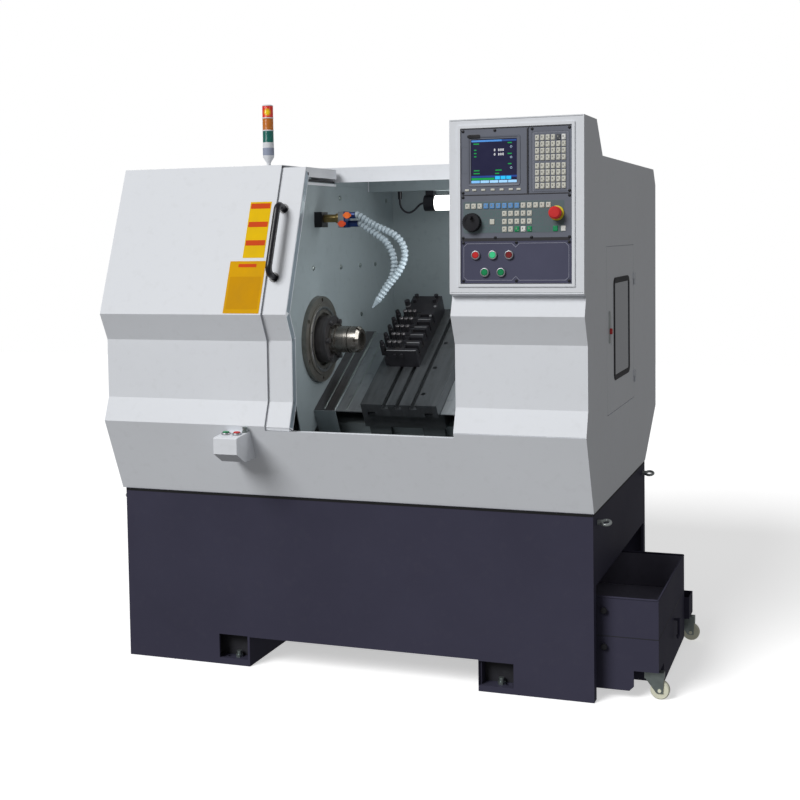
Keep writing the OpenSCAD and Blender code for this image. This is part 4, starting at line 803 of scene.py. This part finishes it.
class LATHE_OT_screen(bpy.types.Operator):
    """Plain fields and rows of noughts on the display, each a thin slab or ring"""
    bl_idname = "lathe.screen"
    bl_label = "Screen"

    def execute(self, context):
        glass, digit_face = -2.5, -2.4
        navy, sky, leaf, aqua, pale = (28, 28, 54), (74, 130, 196), (24, 140, 66), (40, 176, 226), (150, 196, 232)
        fields = [(129, 369, 131, 121, navy, 0.0), (108, 425, 88, 5, sky, 0.15),
                  (172, 425, 42, 5, (40, 70, 130), 0.15)]
        fields += [(74 + k, v, w, 3, leaf, 0.15) for k, v, w in
                   [(4, 417, 16), (1, 400, 7), (1, 391, 7), (1, 382, 7), (5, 343, 16), (5, 335, 18), (68, 343, 18),
                    (64, 334, 12), (100, 418, 12), (100, 388, 12), (100, 360, 10)]]
        fields += [(129, 326, 131, 5, (36, 64, 132), 0.15), (97, 319.5, 66, 6, leaf, 0.15)]
        fields += [(139 + 16 * k, 322, 14, 9, aqua, 0.3) for k in range(3)]
        fields += [(76 + 26.4 * k, 312, 24.5, 7, pale if k else (120, 176, 226), 0.15) for k in range(5)]
        parts = [(moved(slab(w, h, 0.4, [(0, 0), (0, 0.25)], steps=2), [u, v, glass + lift]), rgb)
                 for u, v, w, h, rgb, lift in fields]
        nought = rounded_frame(2.6, 5.4, 1.2, [(-0.5, 0), (-0.5, 0.3), (0.5, 0.3), (0.5, 0)], 4)
        digits = [(u, v, digit_face) for v in (399, 387) for u in (131, 143, 149, 155)]
        dial = rounded_frame(5, 5, 2.4, [(-0.6, 0), (-0.6, 0.3), (0.6, 0.3), (0.6, 0)], 6)
        icons = [(178, v, digit_face) for v in (407, 378, 349)]
        parts += [(repeated(nought, digits), (235, 235, 238)), (repeated(dial, icons), (150, 170, 190))]
        shape, tint = coloured(parts)
        piece("screen_fields", shape, "screen_light", place=panel_place, tint=tint)
        return {"FINISHED"}


class LATHE_OT_plates(bpy.types.Operator):
    """Blank coloured plates on the left guard, as thin rounded slabs"""
    bl_idname = "lathe.plates"
    bl_label = "Blank plates"

    def execute(self, context):
        yellow, amber, orange, ochre = (236, 192, 6), (220, 164, 4), (214, 76, 26), (208, 150, 2)
        lean = FOLDS[5] - FOLDS[4]
        rise = lean[1] / np.linalg.norm(lean)
        fields = [(486.5, 1359, 71, 170, yellow, 0.1)]
        fields += [(486.5, 1359 + dz, 65, 16, orange, 0.3) for dz in (72, 16, -40)]
        fields += [(471.5, 1187, 119, 155, amber, 0.1), (471.5, 1251, 60, 10, orange, 0.3),
                   (471.5, 1170, 105, 96, ochre, 0.3)]
        parts = [(moved(slab(w, h / rise, 1.5, [(0, 0), (0, 0.35), (0.2, 0.45)], steps=3),
                        [x, (z - FOLDS[4][1]) / rise, lift]), rgb) for x, z, w, h, rgb, lift in fields]
        shape, tint = coloured(parts)
        piece("blank_plates", shape, "printed_plate", place=guard_place(4), tint=tint)
        return {"FINISHED"}


class LATHE_OT_switch(bpy.types.Operator):
    """Domed caps, bright collars and a cable gland on the start and stop box, all revolved profiles"""
    bl_idname = "lathe.switch"
    bl_label = "Start and stop switch"

    def execute(self, context):
        start, stop = [430, SWITCH_Y, 0], [466, SWITCH_Y, 0]
        cap = revolved([(0, 755.4), (10, 755.4), (10.4, 756), (10, 758.4), (7, 759.6), (0, 760)])
        piece("start_cap", moved(cap, start), "green_cap", body="start_switch")
        piece("stop_cap", moved(cap, stop), "red_cap", body="stop_switch")
        collar = revolved([(11, 748), (14, 748), (14.2, 753), (13, 755), (11.4, 755), (11, 754), (11, 748)])
        piece("switch_collars", repeated(collar, [start, stop]), "ring_steel")
        gland = revolved([(0, 748), (9, 748), (9, 756), (6.5, 757), (6.5, 764), (7.4, 765), (7.4, 769), (0, 770)],
                         24)
        piece("switch_gland", moved(gland, [477, SWITCH_Y + 30, 0]), "zinc_plate")
        return {"FINISHED"}


class LATHE_OT_lamp(bpy.types.Operator):
    """Bright glass round the middle of the work lamp: r = R + ripple cos(n x), laid along X"""
    bl_idname = "lathe.lamp"
    bl_label = "Work lamp"

    def execute(self, context):
        length, bore, outer, rib = 148, 24.5, 25.6, 9
        z = np.linspace(0, length, 30)
        r = outer + 0.25 * np.cos(2 * np.pi * z / rib)
        glass = revolved(np.column_stack([np.r_[bore, r, bore, bore], np.r_[0, z, length, 0]]), 40)
        piece("lamp_sleeve", moved(glass, [840, LAMP_Y, 1444], ALONG_X), "lamp_glass")
        return {"FINISHED"}


class LATHE_OT_side_door(bpy.types.Operator):
    """Half-round gasket carried round the side window, and the door's latch: a slab and a revolved knob"""
    bl_idname = "lathe.side_door"
    bl_label = "Side door"

    def execute(self, context):
        a = np.linspace(0, np.pi, 9)
        half = size("gasket_half")
        profile = [(-half * np.cos(t), 3.5 * np.sin(t)) for t in a]
        gasket_and_shadow_strip = rounded_frame(258, 296, 14, profile, 8)
        piece("window_gasket", moved(gasket_and_shadow_strip, [SIDE_X, 464, 1040], ALONG_X), "rubber",
              body="access_door")
        plate = slab(22, 96, 6, [(0, 0), (0, 1.6), (1, 2.4)])
        piece("latch_plate", moved(plate, [SIDE_X, 258, 1052], ALONG_X), "eye_zinc", body="access_door")
        knob = revolved([(0, 0), (9, 0), (9, 6), (7.5, 7.6), (0, 8)], 28)
        piece("latch_knob", moved(knob, [SIDE_X + 2, 258, 1040], ALONG_X), "red_cap",
              body="access_door")
        return {"FINISHED"}


# Pieces in the work space

class LATHE_OT_wall(bpy.types.Operator):
    """Screws, lip, rail and seal on the headstock wall, the cap's ring and the lamp beam's thin lining"""
    bl_idname = "lathe.wall"
    bl_label = "Headstock wall"

    def execute(self, context):
        dome = revolved([(0, 0), (8, 0), (7.6, 2), (5, 4), (2.6, 4.6), (2.4, 3), (0, 2.8)], 24)
        at = [(151, 1237), (380, 1234), (553, 1235), (559, 1068), (380, 1460), (700, 1235), (820, 1460)]
        heads = repeated(moved(dome, 0, ALONG_X), [(WALL_X, y, z) for y, z in at])
        piece("wall_screws", heads, "zinc_plate")
        ring = revolved([(94, 0), (95, 2.4), (99, 2.8), (103, 2.4), (104, 0), (94, 0)], 96)
        piece("cap_ring", moved(ring, [WALL_X + 18, 0, 0], ALONG_X), "plated", place=slant_place)
        lip = joined(end_sheet(WALL_X, 116, 332, 1500, 1507), end_sheet(WALL_X, 340, 636, 1500, 1530))
        piece("wall_lip", lip, "liner_paint")
        rail = end_sheet(WALL_X + 1, 116, 345, 1496, 1504)
        piece("wall_rail", rail, "guard_paint")
        seal = end_sheet(WALL_X + 1.2, 116, 330, 1506, 1513)
        piece("wall_seal", seal, "rubber")
        beam = joined(moved(slab(880, 66, 1, SHEET), [1045, 640, 1520], TO_FRONT),
                      moved(slab(880, 50, 1, SHEET), [1045, LAMP_Y, 1487], DOWNWARD))
        piece("beam_lining", beam, "liner_paint")
        return {"FINISHED"}


class LATHE_OT_covers(bpy.types.Operator):
    """Wipers, seam and plate of the way covers: long thin slabs on the slant"""
    bl_idname = "lathe.covers"
    bl_label = "Way covers"

    def execute(self, context):
        middle = 64
        wiper = slab(5, 428, 1.5, [(0, 0), (0, 1.2), (0.8, 1.8)])
        wipers = repeated(wiper, [(634, middle, -163), (669, middle, -163), (1243, middle, -164)])
        piece("cover_wipers", wipers, "zinc_plate", place=slant_place)
        seam = slab(4, 420, 1.2, [(0, 0), (0, 0.8), (0.6, 1.2)])
        piece("cover_seams", moved(seam, [706, middle, -168]), "zinc_plate", body="carriage",
              place=slant_place)
        plate = slab(70, 438, 1, [(0, 0), (0, 0.7), (0.3, 1)])
        piece("cover_plate", moved(plate, [636.5, middle, -164]), "nose_steel", place=slant_place)
        return {"FINISHED"}


class LATHE_OT_tools(bpy.types.Operator):
    """Gang tools in a row, each a shank, a nose and a clamp, with the block's bright edges and socket screws"""
    bl_idname = "lathe.tools"
    bl_label = "Tool block"

    def execute(self, context):
        rows = [50 + 44 * k for k in range(5)]
        screw = revolved([(0, -8), (6.4, -8), (6.4, -1.2), (5.8, -0.4), (3, -0.4), (2.9, -4), (0, -4)], 24)
        piece("slide_screws", repeated(screw, [(957, s, -123) for s in (-42, 94, 230)]), "black_oxide",
              body="tool_slide", place=slant_place)
        edge_levels = [(0, 0), (0, 0.5), (0.4, 0.8)]
        lands = repeated(slab(42, 2.4, 0.6, edge_levels), [(882, s - 20.6, BLOCK_TOP) for s in rows[1:]])
        front = moved(slab(98, 2.4, 0.6, edge_levels), [855, rows[0] - 20.6, BLOCK_TOP])
        ring = revolved([(9.05, 0), (9.6, 0.4), (9.6, 5.6), (9.05, 6), (9.05, 0)], 28)
        stud = revolved([(0, 0), (4.6, 0), (4.6, 2.4), (3.8, 3.2), (2.2, 3.2), (2.1, 1.4), (0, 1.4)], 20)
        trim = joined(lands, front, moved(ring, [803, 287, BLOCK_TOP - 2]),
                      repeated(stud, [(898, 226, BLOCK_TOP), (898, 281, BLOCK_TOP)]))
        piece("block_trim", trim, "ground_edge", body="tool_slide", place=slant_place)
        clamp = revolved([(0, 39), (6.6, 39), (7, 40), (7, 49), (6, 51.5), (3.4, 52), (3.2, 49), (0, 49)], 24)
        tool = joined(moved(slab(110, 16, 2, [(0, 0), (0, 16)]), [847, 0, 0]),
                      moved(slab(15, 14, 3, [(0, 0), (0, 38), (1.5, 40)]), [788, 0, 0]), moved(clamp, [787, 0, 0]))
        tools = piece("gang_tools", repeated(tool, [(0, s, BLOCK_TOP - 30) for s in rows]),
                      "black_oxide", body="tool_slide", place=slant_place)
        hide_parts("tool_bits")
        cap = revolved([(6.5, 0), (6.8, 0.4), (6.8, 3), (5.8, 4.2), (3.4, 4.4), (3.2, 1.5), (0, 1.5), (0, 0),
                        (6.5, 0)], 24)
        tops = [(x, s, BLOCK_TOP + 18) for s in rows for x in (814, 830, 847)]
        piece("clamp_tops", repeated(cap, tops), "nose_steel", body="tool_slide", place=slant_place)
        return {"FINISHED"}


class LATHE_OT_door(bpy.types.Operator):
    """Thin steel strips along the door's folded edge, one a face, coloured bluish as a painted reflection of the work
    space, and the guide at its top
    """
    bl_idname = "lathe.door"
    bl_label = "Sliding door"

    def execute(self, context):
        edge_x = 615
        for low, span in ((4, (15, 468)), (3, (-6, 78)), (2, (-6, 187)), (1, (4, 82))):
            strip = slab(span[1] - span[0], 22, 1, [(0, 0), (0, 0.2), (0.3, 0.35)])
            piece("door_edge_%d" % low, moved(strip, [edge_x, sum(span) / 2, -24], ALONG_X), "edge_steel_reflection_tint",
                  body="sliding_door", place=guard_place(low))
        guide = revolved([(0, 0), (5.4, 0), (5.4, 0.2), (5, 0.35), (0, 0.4)], 24)
        piece("door_guide", moved(guide, [edge_x, 90.5, 1528.5], ALONG_X), "rubber",
              body="sliding_door")
        return {"FINISHED"}


# Base and cart

class LATHE_OT_base(bpy.types.Operator):
    """Painted shade and shadow, all thin slabs: dark sheets inside the foot pockets for their shade, and a near-black
    shadow line between base and guard
    """
    bl_idname = "lathe.base"
    bl_label = "Base"

    def execute(self, context):
        # dark sheets lining the foot pockets: painted shade in the recesses
        back = moved(slab(134, 92, 1, [(0, 0), (0, 1.0), (0.4, 1.4)]), 0, TO_FRONT)
        backs = repeated(back, [(x, y, 64) for y in (49, 866) for x in (350, 1241)])
        sides = [end_sheet(x, near, near + 39, 18.5, 110) for x in (282, 1306) for near in (8.5, 866.5)]
        piece("pocket_shade_sheets", joined(backs, *sides), "rubber")
        # near-black strip along the base's top edge under the guard: a painted shadow line, not a real gasket
        sill = slab(1506, 8, 0.5, [(0, 0), (0, 0.5), (0.2, 0.7)])
        gasket_and_shadow_strip = joined(moved(sill, [754, 0, 538], TO_FRONT), end_sheet(1508, 4, 910, 534, 542, 0.8))
        piece("base_painted_shadow", gasket_and_shadow_strip, "painted_shadow_black")
        return {"FINISHED"}


class LATHE_OT_cart(bpy.types.Operator):
    """Rolled rim and seam of the chip bin, a lining inside it in a lighter paint as painted light for its dim inside,
    and revolved guide knobs on the cart's front
    """
    bl_idname = "lathe.cart"
    bl_label = "Chip cart"

    def execute(self, context):
        x, y, wide, deep, roll = 1420.5, 336.5, 521, 553, size("rim_radius")
        a = np.linspace(0, 2 * np.pi, 12, endpoint=False)
        rim = rounded_frame(wide, deep, 6, [(roll * np.cos(t) - 1.5, roll * np.sin(t)) for t in a], 5)
        piece("bin_rim", moved(rim, [x, y, 292]), "base_paint", body="cart")
        knob = revolved([(0, 0), (7, 0), (7, 4), (4.5, 5), (4.5, 8), (9, 9), (9.5, 12), (8, 14), (0, 14.4)], 24)
        knobs = repeated(moved(knob, 0, TO_FRONT), [(1527, 60, 255), (1527, 60, 150)])
        piece("cart_knobs", knobs, "black_plastic", body="cart")
        middle = 236
        # lining of the bin's inside in a paint lighter than the cart's: painted light
        floor, end, side = (slab(*size, 1, SHEET) for size in ((514, 546), (546, 106), (514, 106)))
        walls = joined(moved(floor, [x, y, 182]),
                       moved(end, [1677.1, y, middle], ALONG_X), moved(end, [1163.1, y, middle], ALONG_X),
                       moved(side, [x, 609.1, middle], TO_REAR), moved(side, [x, 63.1, middle], TO_REAR))
        piece("bin_lightened_lining", walls, "bin_lightened_paint", body="cart")
        strip = rounded_frame(wide, deep, 1, [(0, -1.2), (0.5, -1.0), (0.5, 1.0), (0, 1.2), (-0.5, 0)], 3)
        piece("bin_seam", moved(strip, [x, y, 179]), "rubber", body="cart")
        return {"FINISHED"}


class LATHE_PT_panel(bpy.types.Panel):
    """Lists the steps of the lathe's making, in order, and what can be changed"""
    bl_idname = "LATHE_PT_panel"
    bl_label = "Lathe"
    bl_space_type = "VIEW_3D"
    bl_region_type = "UI"
    bl_category = "Lathe"

    def draw(self, context):
        for step in STEPS:
            self.layout.operator(step.bl_idname)
        for group, kind in GROUPS.items():
            for name in kind.__annotations__:
                self.layout.prop(getattr(context.scene, group), name)


STEPS = [LATHE_OT_stage, LATHE_OT_cable, LATHE_OT_finishes, LATHE_OT_hoses, LATHE_OT_tower, LATHE_OT_keys,
         LATHE_OT_panel, LATHE_OT_fields, LATHE_OT_screen, LATHE_OT_plates, LATHE_OT_switch, LATHE_OT_lamp,
         LATHE_OT_side_door, LATHE_OT_wall, LATHE_OT_covers, LATHE_OT_tools, LATHE_OT_door, LATHE_OT_base,
         LATHE_OT_cart]
GROUPS = {"lathe_sizes": LatheSizes, "lathe_look": LatheLook, "lathe_stage": LatheStage}
CLASSES = [*GROUPS.values(), *STEPS, LATHE_PT_panel]


def register():
    for cls in CLASSES:
        bpy.utils.register_class(cls)
    for name, group in GROUPS.items():
        setattr(bpy.types.Scene, name, PointerProperty(type=group))


def unregister():
    for name in GROUPS:
        delattr(bpy.types.Scene, name)
    for cls in reversed(CLASSES):
        bpy.utils.unregister_class(cls)


def main():
    register()
    for step in STEPS:
        area, name = step.bl_idname.split(".")
        getattr(getattr(bpy.ops, area), name)()


if __name__ == "__main__":
    main()
